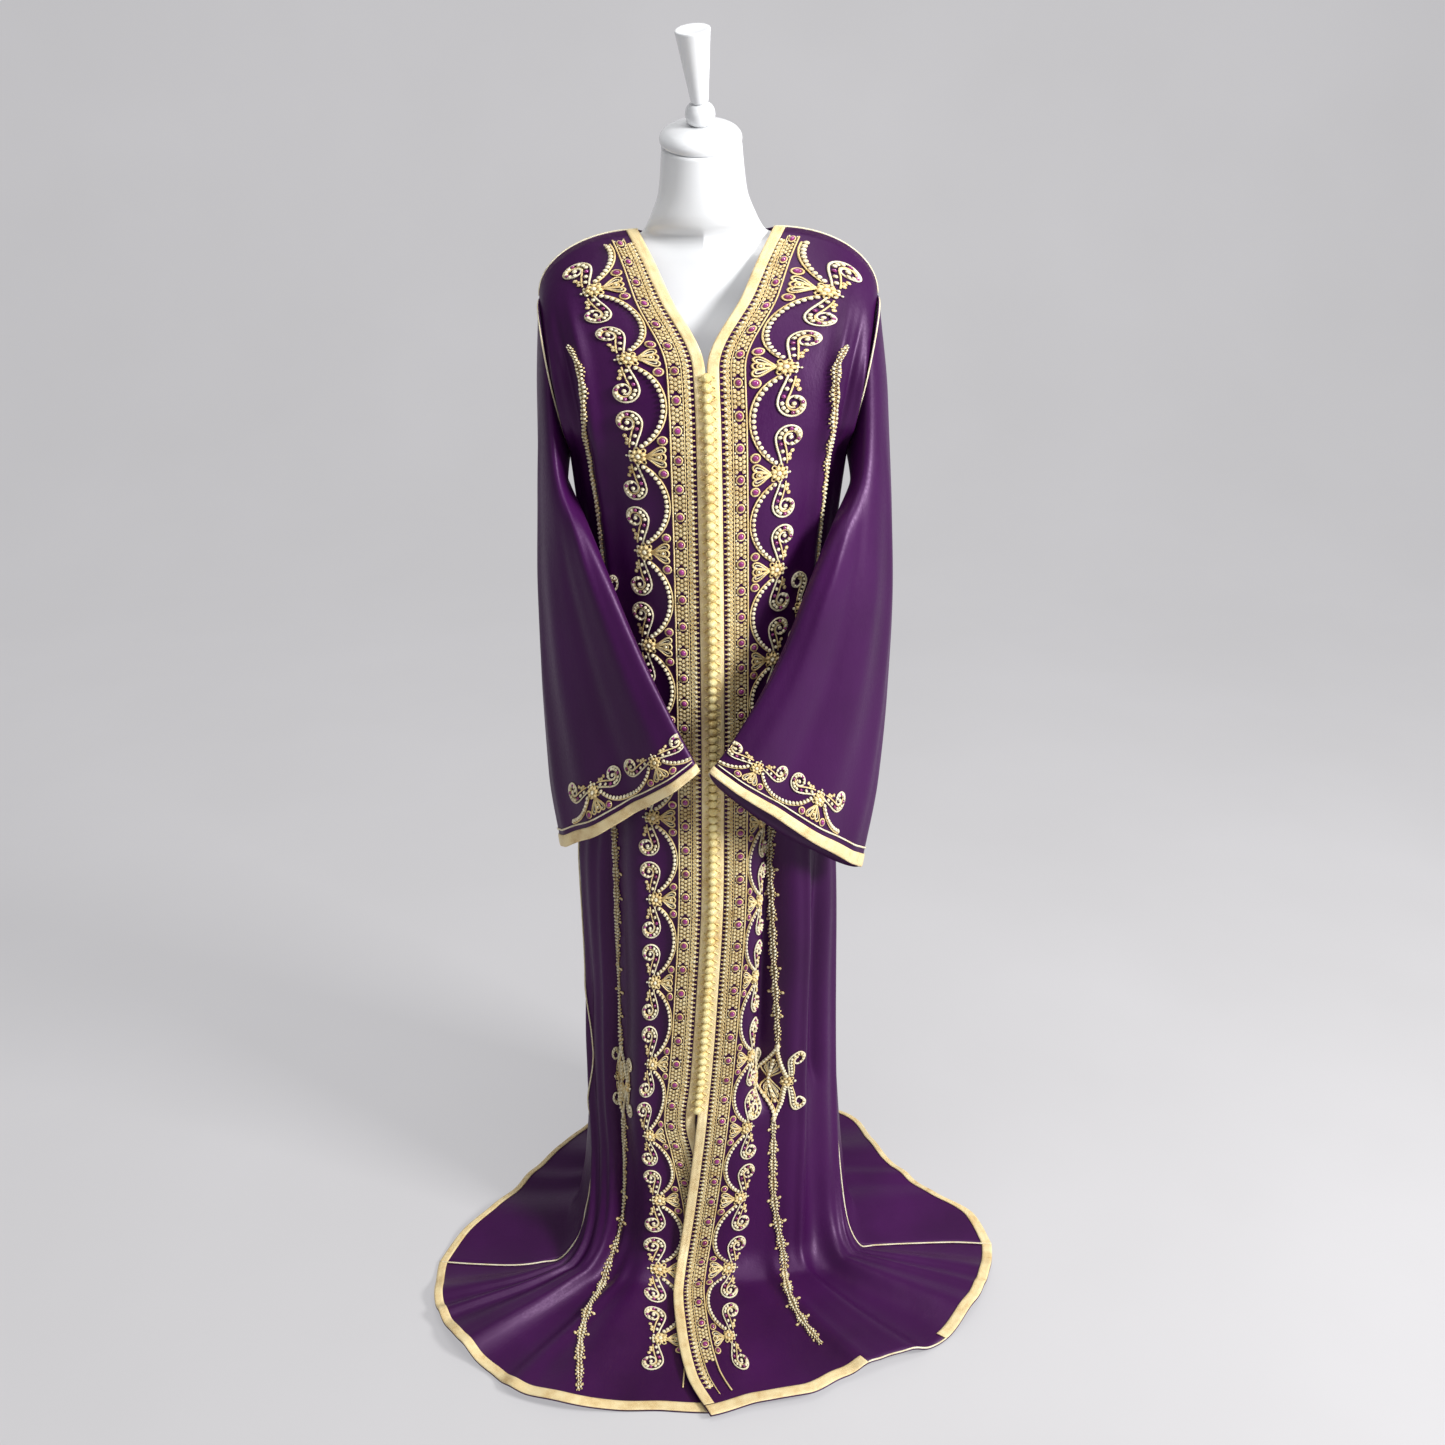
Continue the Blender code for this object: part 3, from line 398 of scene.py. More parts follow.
# a round cord along a path of (across, along, height) points; open ends are closed
def addCord(bm, path, radius, sides=5, closed=False):
    path = np.asarray(path, float)
    count = len(path)
    radius = np.broadcast_to(radius, (count,))
    ahead = np.roll(path, -1, axis=0) - np.roll(path, 1, axis=0)
    if not closed:
        ahead[0], ahead[-1] = path[1] - path[0], path[-1] - path[-2]
    ahead = unit(ahead)
    aside = unit(np.cross(ahead, [0.0, 0.0, 1.0]))
    up = np.cross(aside, ahead)
    spans = count if closed else count + 1
    made = bmesh.ops.create_grid(bm, x_segments=spans, y_segments=sides, size=0.5)["verts"]
    step = np.round((np.array([v.co.x for v in made]) + 0.5) * spans).astype(int)
    angle = (np.array([v.co.y for v in made]) + 0.5) * 2 * math.pi
    at = step % count if closed else np.clip(step - 1, 0, count - 1)
    size = radius[at] if closed else np.where((step == 0) | (step == spans), 0.0, radius[at])
    places = path[at] + (aside[at] * np.cos(angle)[:, None] + up[at] * np.sin(angle)[:, None]) * size[:, None]
    for vert, spot in zip(made, places):
        vert.co = spot
    bmesh.ops.remove_doubles(bm, verts=made, dist=1e-7)


def addBead(bm, x, y, radius, high=None, detail=1):
    tall = high or radius
    size = Matrix.Translation((x, y, tall * 0.75)) @ Matrix.Diagonal((1, 1, tall / radius, 1))
    bmesh.ops.create_icosphere(bm, subdivisions=detail, radius=radius, matrix=size)


def addRing(bm, x, y, ringRadius, cordRadius, count=6, sides=4):
    turns = np.linspace(0, 2 * math.pi, count, endpoint=False)
    path = stack(x + ringRadius * np.cos(turns), y + ringRadius * np.sin(turns), cordRadius)
    addCord(bm, path, cordRadius, sides, closed=True)


# a drop-shaped loop of cord that starts and ends at x, y
def addPetal(bm, x, y, angle, length, width, cordRadius, count=11):
    t = np.linspace(0, 1, count)
    along = length * np.sin(math.pi * t) ** 0.8
    aside = width * np.sin(2 * math.pi * t) * 0.5
    px = x + along * math.cos(angle) - aside * math.sin(angle)
    py = y + along * math.sin(angle) + aside * math.cos(angle)
    addCord(bm, stack(px, py, cordRadius), cordRadius, 4)


def beadsAlong(bm, path, pitch, radius, high=None, detail=1):
    steps = np.concatenate([[0], np.cumsum(np.linalg.norm(np.diff(path, axis=0), axis=1))])
    count = max(int(steps[-1] / pitch), 1)
    for k in range(count):
        at = (k + 0.5) * steps[-1] / count
        size = float(np.interp(at / steps[-1], (0, 1), radius)) if np.ndim(radius) else radius
        x, y = (float(np.interp(at, steps, path[:, axis])) for axis in (0, 1))
        addBead(bm, x, y, size, high, detail)


layers = ("gold", "pearl", "stone")


def newWork():
    return {layer: bmesh.new() for layer in layers}


# a flat motif in gold cord, pearl thread and stones, kept to be stamped many times
def motif(name, build):
    work = newWork()
    build(work)
    made = {}
    for layer, bm in work.items():
        made[layer] = bpy.data.meshes.new(name + layer)
        bm.to_mesh(made[layer])
        bm.free()
    return made


def stamp(work, made, place):
    for layer, mesh in made.items():
        if not mesh.vertices:
            continue
        bm = work[layer]
        before = len(bm.verts)
        bm.from_mesh(mesh)
        bm.verts.ensure_lookup_table()
        new = bm.verts[before:]
        flat = np.array([v.co[:] for v in new])
        for vert, spot in zip(new, place(flat)):
            vert.co = spot


# turns flat (across, along, height) into places on the cloth, from a table of its points and normals
def wrapGrid(points, normals, acrossAll, alongAll):
    def wrap(flat):
        i = np.interp(flat[:, 1], alongAll, np.arange(len(alongAll)))
        j = np.interp(flat[:, 0], acrossAll, np.arange(len(acrossAll)))
        i0, j0 = np.minimum(i.astype(int), len(alongAll) - 2), np.minimum(j.astype(int), len(acrossAll) - 2)
        fi, fj = (i - i0)[:, None], (j - j0)[:, None]

        def mix(grid):
            low = grid[i0, j0] * (1 - fj) + grid[i0, j0 + 1] * fj
            high = grid[i0 + 1, j0] * (1 - fj) + grid[i0 + 1, j0 + 1] * fj
            return low * (1 - fi) + high * fi

        return mix(points) + unit(mix(normals)) * (flat[:, 2:3] + layGap)

    return wrap


# across is metres from the front edge, along is the drop
def bandWrap(panel, widest=0.24):
    drops = np.linspace(0, hemDrop, 426)
    turns = np.linspace(0, 1, 201)
    dd, uu = np.meshgrid(drops, turns, indexing="ij")
    points, normals = panelPoint(panel, uu, dd), panelNormal(panel, uu, dd)
    steps = np.linalg.norm(np.diff(points, axis=1), axis=-1)
    length = np.concatenate([np.zeros((len(drops), 1)), np.cumsum(steps, axis=1)], axis=1)
    across = np.linspace(0, widest, 161)
    atPoints = np.empty((len(drops), len(across), 3))
    atNormals = np.empty_like(atPoints)
    for i in range(len(drops)):
        for axis in range(3):
            atPoints[i, :, axis] = np.interp(across, length[i], points[i, :, axis])
            atNormals[i, :, axis] = np.interp(across, length[i], normals[i, :, axis])
    return wrapGrid(atPoints, atNormals, across, drops)


# across is metres in from the hem, along is metres round it, through one panel or two that share an edge
def hemWrap(panels):
    ins = np.linspace(0, 0.024, 13)
    turns = np.linspace(0, 1, 201)
    strips, stripNormals = [], []
    for k, panel in enumerate(panels):
        order = turns[::-1] if len(panels) == 2 and k == 0 else turns
        dd, uu = np.meshgrid(hemDrop - ins, order, indexing="ij")
        strips.append(panelPoint(panel, uu, dd))
        stripNormals.append(panelNormal(panel, uu, dd))
    points, normals = np.concatenate(strips, axis=1), np.concatenate(stripNormals, axis=1)
    length = np.concatenate([[0], np.cumsum(np.linalg.norm(np.diff(points[0], axis=0), axis=-1) + 1e-9)])
    return wrapGrid(points.swapaxes(0, 1), normals.swapaxes(0, 1), ins, length), length


# across is metres up from the cuff's edge, along is metres round it from the inner edge over the front
def sleeveWrap(side):
    shares = np.linspace(1.0, 0.78, 70)
    turns = np.linspace(0, 1, cuffTurns)
    ss, tt = np.meshgrid(shares, turns, indexing="ij")
    points = sleevePoint(side, ss, tt)
    normals = unit(sleevePoint(side, ss, tt, 0.002) - points)
    up = np.concatenate([[0], np.cumsum(np.linalg.norm(np.diff(points[:, 60], axis=0), axis=-1))])
    length = np.concatenate([[0], np.cumsum(np.linalg.norm(np.diff(points[0], axis=0), axis=-1))])
    return wrapGrid(points.swapaxes(0, 1), normals.swapaxes(0, 1), up, length), length


def wrapWork(bm, wrap):
    if bm.verts:
        flat = np.array([v.co[:] for v in bm.verts])
        for vert, spot in zip(bm.verts, wrap(flat)):
            vert.co = spot
    return bm


# materials


class Nodes:
    def __init__(self, name):
        self.mat = bpy.data.materials.new(name)
        self.mat.use_nodes = True
        self.tree = self.mat.node_tree
        self.shader = self.tree.nodes["Principled BSDF"]

    def add(self, kind, **values):
        node = self.tree.nodes.new(kind)
        for key, value in values.items():
            if key in node.inputs:
                node.inputs[key].default_value = value
            else:
                setattr(node, key, value)
        return node

    def join(self, fromSocket, toSocket):
        self.tree.links.new(fromSocket, toSocket)

    # a texture in object coordinates
    def texture(self, kind, stretch=(1, 1, 1), **values):
        node = self.add(kind, **values)
        source = self.add("ShaderNodeTexCoord")
        mapping = self.add("ShaderNodeMapping")
        mapping.inputs["Scale"].default_value = stretch
        self.join(source.outputs["Object"], mapping.inputs["Vector"])
        self.join(mapping.outputs["Vector"], node.inputs["Vector"])
        return node

    def surface(self, values):
        for key, value in values.items():
            self.shader.inputs[key].default_value = value

    def ramp(self, fac, stops):
        node = self.add("ShaderNodeValToRGB")
        elements = node.color_ramp.elements
        while len(elements) < len(stops):
            elements.new(0.5)
        for element, (at, colour) in zip(elements, stops):
            element.position = at
            element.color = (*colour, 1)
        self.join(fac, node.inputs["Fac"])
        return node.outputs["Color"]

    def bump(self, height, strength, distance, before=None):
        node = self.add("ShaderNodeBump", Strength=strength, Distance=distance)
        self.join(height, node.inputs["Height"])
        if before is not None:
            self.join(before, node.inputs["Normal"])
        return node.outputs["Normal"]


def satin(name, deep, lit, sheen):
    n = Nodes(name)
    cloud = n.texture("ShaderNodeTexNoise", (1, 1, 0.6), Scale=5.0, Detail=4.0, Roughness=0.55)
    n.join(n.ramp(cloud.outputs["Fac"], ((0.30, deep), (0.72, lit))), n.shader.inputs["Base Color"])
    crepe = n.texture("ShaderNodeTexNoise", (1, 1, 0.55), Scale=420.0, Detail=2.0)
    weave = n.texture("ShaderNodeTexWave", Scale=260.0, Distortion=1.2, bands_direction="Z")
    soft = n.texture("ShaderNodeTexNoise", (1, 1, 0.35), Scale=22.0, Detail=3.0)
    normal = n.bump(soft.outputs["Fac"], 0.30, 0.004)
    normal = n.bump(crepe.outputs["Fac"], 0.35, 0.0004, normal)
    normal = n.bump(weave.outputs["Fac"], 0.12, 0.0002, normal)
    n.join(normal, n.shader.inputs["Normal"])
    n.join(n.ramp(crepe.outputs["Fac"], ((0.2, (0.38,) * 3), (0.8, (0.52,) * 3))), n.shader.inputs["Roughness"])
    n.surface({
        "Sheen Weight": sheen, "Sheen Roughness": 0.30, "Sheen Tint": (0.75, 0.22, 0.85, 1),
        "Specular IOR Level": 0.38, "Specular Tint": (0.95, 0.62, 1.0, 1),
    })
    return n.mat


def thread(name, low, mid, high, scale, metallic, roughness=0.42):
    n = Nodes(name)
    wave = n.texture("ShaderNodeTexWave", Scale=scale, Distortion=2.5, Detail=1.0, bands_direction="DIAGONAL")
    cloud = n.texture("ShaderNodeTexNoise", Scale=60.0, Detail=3.0)
    mixed = n.add("ShaderNodeMath", operation="MULTIPLY_ADD")
    n.join(wave.outputs["Fac"], mixed.inputs[0])
    mixed.inputs[1].default_value = 0.55
    n.join(cloud.outputs["Fac"], mixed.inputs[2])
    n.join(n.ramp(mixed.outputs[0], ((0.30, low), (0.62, mid), (0.95, high))), n.shader.inputs["Base Color"])
    n.join(n.bump(wave.outputs["Fac"], 0.5, 0.0004), n.shader.inputs["Normal"])
    n.surface({"Metallic": metallic, "Roughness": roughness})
    return n.mat


def gloss(name, low, high, roughness, coat, metallic=0.0, scale=3.0, grain=120.0, grainStrength=0.04):
    n = Nodes(name)
    cloud = n.texture("ShaderNodeTexNoise", Scale=scale, Detail=4.0)
    n.join(n.ramp(cloud.outputs["Fac"], ((0.3, low), (0.7, high))), n.shader.inputs["Base Color"])
    fine = n.texture("ShaderNodeTexNoise", Scale=grain, Detail=2.0)
    n.join(n.bump(fine.outputs["Fac"], grainStrength, 0.0005), n.shader.inputs["Normal"])
    n.surface({"Roughness": roughness, "Coat Weight": coat, "Coat Roughness": 0.08, "Metallic": metallic})
    return n.mat


satinMat = satin("satin purple", (0.024, 0.0013, 0.031), (0.047, 0.0030, 0.062), 0.035)
braidMat = thread("gold braid", (0.52, 0.29, 0.09), (0.84, 0.60, 0.25), (1.0, 0.86, 0.52), 700.0, 0.10)
knotMat = thread("gold knot thread", (0.60, 0.36, 0.08), (0.92, 0.68, 0.22), (1.0, 0.90, 0.48), 900.0, 0.10, 0.38)
goldMat = thread("gold cord", (0.38, 0.20, 0.05), (0.78, 0.53, 0.18), (1.0, 0.84, 0.46), 900.0, 0.12, 0.40)
pearlMat = thread("pearl thread", (0.52, 0.36, 0.13), (0.88, 0.74, 0.42), (1.0, 0.95, 0.74), 1200.0, 0.0, 0.30)
stoneMat = gloss("purple stone", (0.16, 0.012, 0.07), (0.34, 0.04, 0.24), 0.16, 0.8, 0.0, 60.0, 400.0, 0.1)
formMat = gloss("form white", (0.80, 0.81, 0.82), (0.87, 0.88, 0.89), 0.24, 0.4)
metalMat = gloss("stand steel", (0.48, 0.48, 0.49), (0.62, 0.62, 0.63), 0.32, 0.0, 0.9, 8.0, 300.0, 0.05)
workMats = {"gold": goldMat, "pearl": pearlMat, "stone": stoneMat}
print("materials made")


def addPiece(name, bm, mat, slotName, *nodes, smooth=True):
    return dress(linkMesh(name, bm, mat, smooth), slotName, *nodes)


def dress(obj, slotName, *nodes):
    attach(obj, "root")
    if nodes:
        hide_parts(*nodes)
    return obj


# links the three layers of a piece of embroidery; its gold layer stands in for the CAD node
def dressWork(name, work, wrap, *nodes):
    for layer, bm in work.items():
        if not bm.faces:
            bm.free()
            continue
        stands = nodes if layer == "gold" else ()
        addPiece(name + layer.capitalize(), wrapWork(bm, wrap), workMats[layer], "embroidery", *stands)


# cloth of the body

front = {
    "columns": 84, "rows": 160, "cut": (0.52, 1.76), "cutArea": 0.56,
    "tuck": 0.040, "tuckFrom": 1.195, "tuckFull": 1.240, "tuckFades": 1.300, "tuckEnds": 1.350,
}
frontPieces = {}
for side in ("left", "right"):
    def placeFront(across, along, panel="front" + side.capitalize()):
        drop = along * hemDrop
        tuck = smoothStep((drop - front["tuckFrom"]) / (front["tuckFull"] - front["tuckFrom"]))
        tuck = tuck * (1 - smoothStep((drop - front["tuckFades"]) / (front["tuckEnds"] - front["tuckFades"])))
        start = -front["tuck"] * tuck if panel == "frontLeft" else 0.0
        return panelPoint(panel, start + across * (sideShare - start), drop)

    sheet = gridMesh(front["columns"], front["rows"], placeFront)
    frontPieces[side] = addPiece("clothFront" + side.capitalize(), sheet, satinMat, "satin", "kaftan_front_" + side)
print("fronts made")

back = {"columns": 120, "rows": 140, "cut": (1.02, 1.72), "cutArea": 1.05}


def placeBack(across, along):
    turn = (across - 0.5) * 2 * sideShare
    drop = along * hemDrop
    left = panelPoint("backLeft", np.maximum(-turn, 0), drop)
    right = panelPoint("backRight", np.maximum(turn, 0), drop)
    return np.where((turn < 0)[:, None], left, right)


sheet = gridMesh(back["columns"], back["rows"], placeBack)
backPiece = addPiece("clothBack", sheet, satinMat, "satin", "kaftan_back")
print("back made")


# faces of an open shell point away from the upright line through the middle
def turnOutward(obj):
    total = 0.0
    for polygon in obj.data.polygons:
        away = Vector((polygon.center.x, polygon.center.y, 0))
        total += polygon.normal.dot(away) * polygon.area
    if total < 0:
        obj.data.flip_normals()


for piece in (*frontPieces.values(), backPiece):
    turnOutward(piece)
    solidify(piece, clothWall)

# sleeves: open tubes that hang from the armholes, their mouths turned to the middle

sleeve = {"around": 100, "rows": 78, "cut": (0.55, 0.68), "cutArea": 0.22}
sleevePieces = {}
for side in ("left", "right"):
    def placeSleeve(across, along, side=side):
        return sleevePoint(side, along, across)

    tube = gridMesh(sleeve["around"], sleeve["rows"], placeSleeve, weld=True)
    sleevePieces[side] = addPiece("clothSleeve" + side.capitalize(), tube, satinMat, "satin", "sleeve_" + side)
    solidify(sleevePieces[side], clothWall)
print("sleeves made")

wraps = {"left": bandWrap("frontLeft"), "right": bandWrap("frontRight")}
cuffWraps = {side: sleeveWrap(side) for side in ("left", "right")}
print("wraps ready")

# ribbed gold braid, flat: across its width, along its length, with slanting ribs

braid = {
    "width": 0.0140, "thick": 0.0016, "ribPitch": 0.0032, "ribHigh": 0.0005, "edgeRound": 0.0007, "seam": 0.0004,
    "columns": 14, "rowsPerRib": 2.5, "slant": 0.8, "endGap": 0.001, "cornerGap": 0.015,
}


def braidStrip(name, wrap, spans):
    width = braid["width"]
    joined = bmesh.new()
    for start, end in spans:
        length = end - start

        # the underside, up one edge, over the top and down the other edge
        def place(across, along):
            x = np.interp(across, (0, 0.22, 0.28, 0.94, 1.0), (width, 0.0, 0.0, width, width))
            onTop = (across > 0.25) & (across < 0.97)
            middle = np.abs(x / width - 0.5) * 2
            slant = (along * length + np.abs(x - width / 2) * braid["slant"]) / braid["ribPitch"]
            rib = np.abs(np.sin(math.pi * slant)) * braid["ribHigh"] * (1 - middle**6)
            seam = -braid["seam"] * np.exp(-(((x / width - 0.5) / 0.05) ** 2))
            z = np.where(onTop, braid["thick"] - braid["edgeRound"] * middle**4 + rib + seam, 0.0)
            return stack(x, start + along * length, z)

        bm = gridMesh(braid["columns"], max(int(length / (braid["ribPitch"] / braid["rowsPerRib"])), 2), place)
        bmesh.ops.remove_doubles(bm, verts=bm.verts, dist=1e-6)
        bmesh.ops.holes_fill(bm, edges=[e for e in bm.edges if e.is_boundary], sides=0)
        mesh = bpy.data.meshes.new("strip")
        bm.to_mesh(mesh)
        bm.free()
        joined.from_mesh(mesh)
    return linkMesh(name, wrapWork(joined, wrap), braidMat)


# on the viewer's right the hem is turned under for a stretch, and only a thin cord shows there
turnedUnder = {"start": 0.36, "end": 0.575, "cord": 0.0012, "height": 0.0006}
for side in ("left", "right"):
    label = side.capitalize()
    frontSpans = [(braid["endGap"], hemDrop - braid["cornerGap"])]
    dress(braidStrip("frontBraid" + label, wraps[side], frontSpans), "trim", "front_trim_" + side)
    wrap, lengths = hemWrap(["front" + label])
    end = float(lengths[-1]) - braid["endGap"]
    spans = [(braid["endGap"], end)]
    if side == "right":
        shares = np.linspace(0, 1, len(lengths))
        low, high = (float(np.interp(turnedUnder[k], shares, lengths)) for k in ("start", "end"))
        spans = [(braid["endGap"], low), (high, end)]
        bm = bmesh.new()
        along = np.linspace(low, high, 90)
        addCord(bm, stack(0.0008, along, turnedUnder["height"]), turnedUnder["cord"], 6)
        addPiece("turnedHemCord", wrapWork(bm, wrap), pearlMat, "trim")
    dress(braidStrip("hemBraidFront" + label, wrap, spans), "trim", "hem_trim_front_" + side)
    wrap, lengths = cuffWraps[side]
    braidEnd = float(lengths[cuffTurns // 2]) * 1.02
    dress(braidStrip("cuffBraid" + label, wrap, [(0.0, braidEnd)]), "trim", "cuff_trim_" + side)
    bm = bmesh.new()
    addCord(bm, stack(0.0006, np.linspace(braidEnd, float(lengths[-1]), 90), 0.0004), 0.0010, 6)
    addPiece("cuffBackCord" + label, wrapWork(bm, wrap), pearlMat, "trim")
wrap, lengths = hemWrap(["backLeft", "backRight"])
backSpans = [(braid["endGap"], float(lengths[-1]) - braid["endGap"])]
dress(braidStrip("hemBraidBack", wrap, backSpans), "trim", "hem_trim_back")
print("braids made")

# the row of thread knots, close together, each with a loop of cord to either side

knot = {
    "pitch": 0.01115, "half": 0.0060, "long": 0.0056, "high": 0.0040, "topDrop": 0.205, "endDrop": 1.230,
    "cord": 0.0009, "lift": 0.0018, "rows": 7, "around": 12,
    "strand": 0.07, "twist": 1400,
}


def buildKnot(work):
    size = Matrix.Diagonal((knot["half"], knot["long"], knot["high"], 1))
    size = Matrix.Translation((0, 0, knot["lift"] + knot["high"])) @ size
    made = bmesh.ops.create_uvsphere(
        work["gold"], u_segments=knot["around"], v_segments=knot["rows"], radius=1.0, matrix=size
    )
    for vert in made["verts"]:
        turn = math.atan2(vert.co.y / knot["long"], vert.co.x / knot["half"])
        swell = 1 + knot["strand"] * math.sin(4 * turn + vert.co.z * knot["twist"])
        vert.co.x *= swell
        vert.co.y *= swell
    t = np.linspace(0, 1, 9)
    for sign in (-1, 1):
        x = sign * (0.004 + 0.0060 * np.sin(math.pi * t))
        addCord(work["gold"], stack(x, -0.0034 + 0.0068 * t, knot["lift"] + 0.0003), knot["cord"], 4)


# the row sits on the gap between the fronts and takes the right front's edge
def wrapKnots(flat):
    edge = wraps["right"](np.column_stack([0 * flat[:, 0], flat[:, 1], 0 * flat[:, 2]]))
    out = panelNormal("frontRight", 0.0 * flat[:, 1], flat[:, 1])
    return edge + np.array([1.0, 0, 0]) * (flat[:, 0:1] - frontGap) + out * flat[:, 2:3]


knotMotif = motif("knot", buildKnot)
work = newWork()
knotCount = int((knot["endDrop"] - knot["topDrop"]) / knot["pitch"])
for k in range(knotCount):
    lean = 0.10 * math.sin(k * 2.3)
    at = knot["topDrop"] + knot["pitch"] * (k + 0.5)

    def place(flat, at=at, lean=lean):
        return stack(flat[:, 0], at + flat[:, 1] + flat[:, 0] * lean, flat[:, 2])

    stamp(work, knotMotif, place)
addPiece("closureKnots", wrapWork(work["gold"], wrapKnots), knotMat, "trim", "closure_knots")
print("knots made")

# where the star flowers of each band sit: drop and distance from the front edge
flowerRows = {
    "left": (
        (0.080, 0.081), (0.182, 0.085), (0.298, 0.083), (0.414, 0.080), (0.534, 0.079),
        (0.652, 0.079), (0.770, 0.078), (0.888, 0.075), (1.016, 0.072), (1.146, 0.069),
        (1.262, 0.068), (1.364, 0.077), (1.470, 0.086), (1.584, 0.080),
    ),
    "right": (
        (0.084, 0.092), (0.196, 0.091), (0.322, 0.082), (0.440, 0.080), (0.556, 0.075),
        (0.667, 0.070), (0.779, 0.067), (0.894, 0.064), (1.010, 0.065), (1.138, 0.069),
        (1.246, 0.072), (1.358, 0.076), (1.470, 0.076), (1.594, 0.069),
    ),
}
bandEnds = {
    "top": 0.014, "left": 1.664, "right": 1.676, "firstFlower": -0.58, "lastFlower": 13.62, "margin": 0.006,
    "neckWidth": 0.80, "neckLength": 0.16,
}


# a place in the band is counted in flowers, so that the motifs stretch with it
def flowerDrop(side, count):
    rows = np.array(flowerRows[side])[:, 0]
    whole = np.arange(len(rows))
    inside = np.interp(count, whole, rows)
    below = np.minimum(count, 0) * (rows[1] - rows[0])
    above = np.maximum(count - whole[-1], 0) * (rows[-1] - rows[-2])
    return inside + below + above


def flowerAcross(side, drop):
    rows = np.array(flowerRows[side])
    return np.interp(drop, rows[:, 0], rows[:, 1])


# the bands are narrower beside the neck
def drawIn(drop):
    least, length = bandEnds["neckWidth"], bandEnds["neckLength"]
    return least + (1 - least) * smoothStep(drop / length)


# the strip beside the braid: picot teeth, a column of rings, a line, stones among rings, and a cord

edging = {
    "repeat": 0.1155, "picotAcross": 0.0178, "picots": 18, "ringAcross": 0.0234, "rings": 22, "ringRadius": 0.0021,
    "lineAcross": 0.0274, "stoneAcross": 0.0352, "stones": 3.45, "stoneRing": 0.0046, "stoneRadius": 0.0036,
    "cordAcross": 0.0436, "cord": 0.0011,
}


def buildPicot(work):
    addBead(work["pearl"], 0.0022, 0, 0.0019, 0.0016, 1)
    addCord(work["gold"], [(-0.0028, 0, 0.0006), (-0.0008, 0.0002, 0.0008), (0.0012, 0, 0.0008)], 0.0009, 4)
    addRing(work["gold"], 0.0022, 0, 0.0023, 0.0006)


def buildRing(work):
    addRing(work["gold"], 0, 0, edging["ringRadius"], 0.0009)
    addBead(work["pearl"], 0, 0, 0.0010, 0.0010)


# a stone in its ring, then the rings of the stretch up to the next one
def buildStonePart(work):
    addRing(work["gold"], 0, 0, edging["stoneRing"], 0.0011, 12, 4)
    addBead(work["stone"], 0, 0, edging["stoneRadius"], 0.0024, 2)
    for k in range(4):
        for x in (-0.0045, 0.0, 0.0045):
            y = 0.0086 + k * 0.0054 + (0.0022 if x == 0.0 else 0.0)
            if x == 0.0 and k == 3:
                continue
            addRing(work["gold"], x, y, 0.0018, 0.0008)
            addBead(work["pearl"], x, y, 0.0011, 0.0014)
    for x in (-0.0058, 0.0058):
        addBead(work["pearl"], x, 0.0045, 0.0013)
        addBead(work["pearl"], x, -0.0045, 0.0013)


picotMotif, ringMotif = motif("picot", buildPicot), motif("ring", buildRing)
stoneMotif = motif("stone", buildStonePart)

# the scroll border: across counts from the cord line, along from the flower

scroll = {
    "flowerAcross": 0.0335, "halfRepeat": 0.05775, "cord": 0.0010, "arcBead": 0.0024, "arcPitch": 0.0056,
    "arcStart": 0.0110, "arcApex": 0.0062, "arcEdge": 0.0034, "eyeAcross": 0.0425, "eyeAlong": 0.0400,
    "curlStart": 0.0150, "curlShrink": 0.0092, "curlTurns": 1.30, "stoneAcross": 0.0082, "stoneAlong": 0.0190,
}


def arcPath(inset, half, count=26):
    depth = scroll["flowerAcross"] - 0.002 - scroll["arcApex"]
    reach = half - scroll["arcStart"]
    radius = (reach * reach + depth * depth) / (2 * depth)
    turns = np.linspace(-1, 1, count) * math.asin(reach / radius)
    x = scroll["arcApex"] + radius - (radius - inset) * np.cos(turns)
    return stack(x, half + (radius - inset) * np.sin(turns), scroll["cord"])


# a comma: a tail from the flower swings towards the cord line and curls outwards; inset moves it to the inner side
def volutePath(inset, end, count=40):
    eye = np.array([scroll["eyeAcross"], scroll["eyeAlong"]])
    tail = np.linspace(0, 1, 12)[:-1]
    first, last = np.array([0.0360, 0.0090]), eye + np.array([-scroll["curlStart"], 0.0])
    reach = last[1] - first[1]
    h = [2 * tail**3 - 3 * tail**2 + 1, tail**3 - 2 * tail**2 + tail, 3 * tail**2 - 2 * tail**3, tail**3 - tail**2]
    x = h[0] * first[0] + h[1] * reach * -0.15 + h[2] * last[0]
    y = h[0] * first[1] + h[1] * reach + h[2] * last[1] + h[3] * reach
    turned = np.linspace(0, end, count)
    r = scroll["curlStart"] - scroll["curlShrink"] * turned
    angle = math.pi - turned * 2 * math.pi
    x = np.concatenate([x, eye[0] + r * np.cos(angle)])
    y = np.concatenate([y, eye[1] + r * np.sin(angle)])
    path = stack(x, y, scroll["cord"])
    if inset:
        ahead = unit(np.gradient(path, axis=0))
        side = np.cross([0.0, 0.0, 1.0], ahead)
        along = np.linspace(0, 1, len(path))
        width = inset * np.interp(along, (0, 0.18, 0.45, 1.0), (0.75, 1.0, 0.9, 0.25))
        path = path - side * width[:, None]
    return path


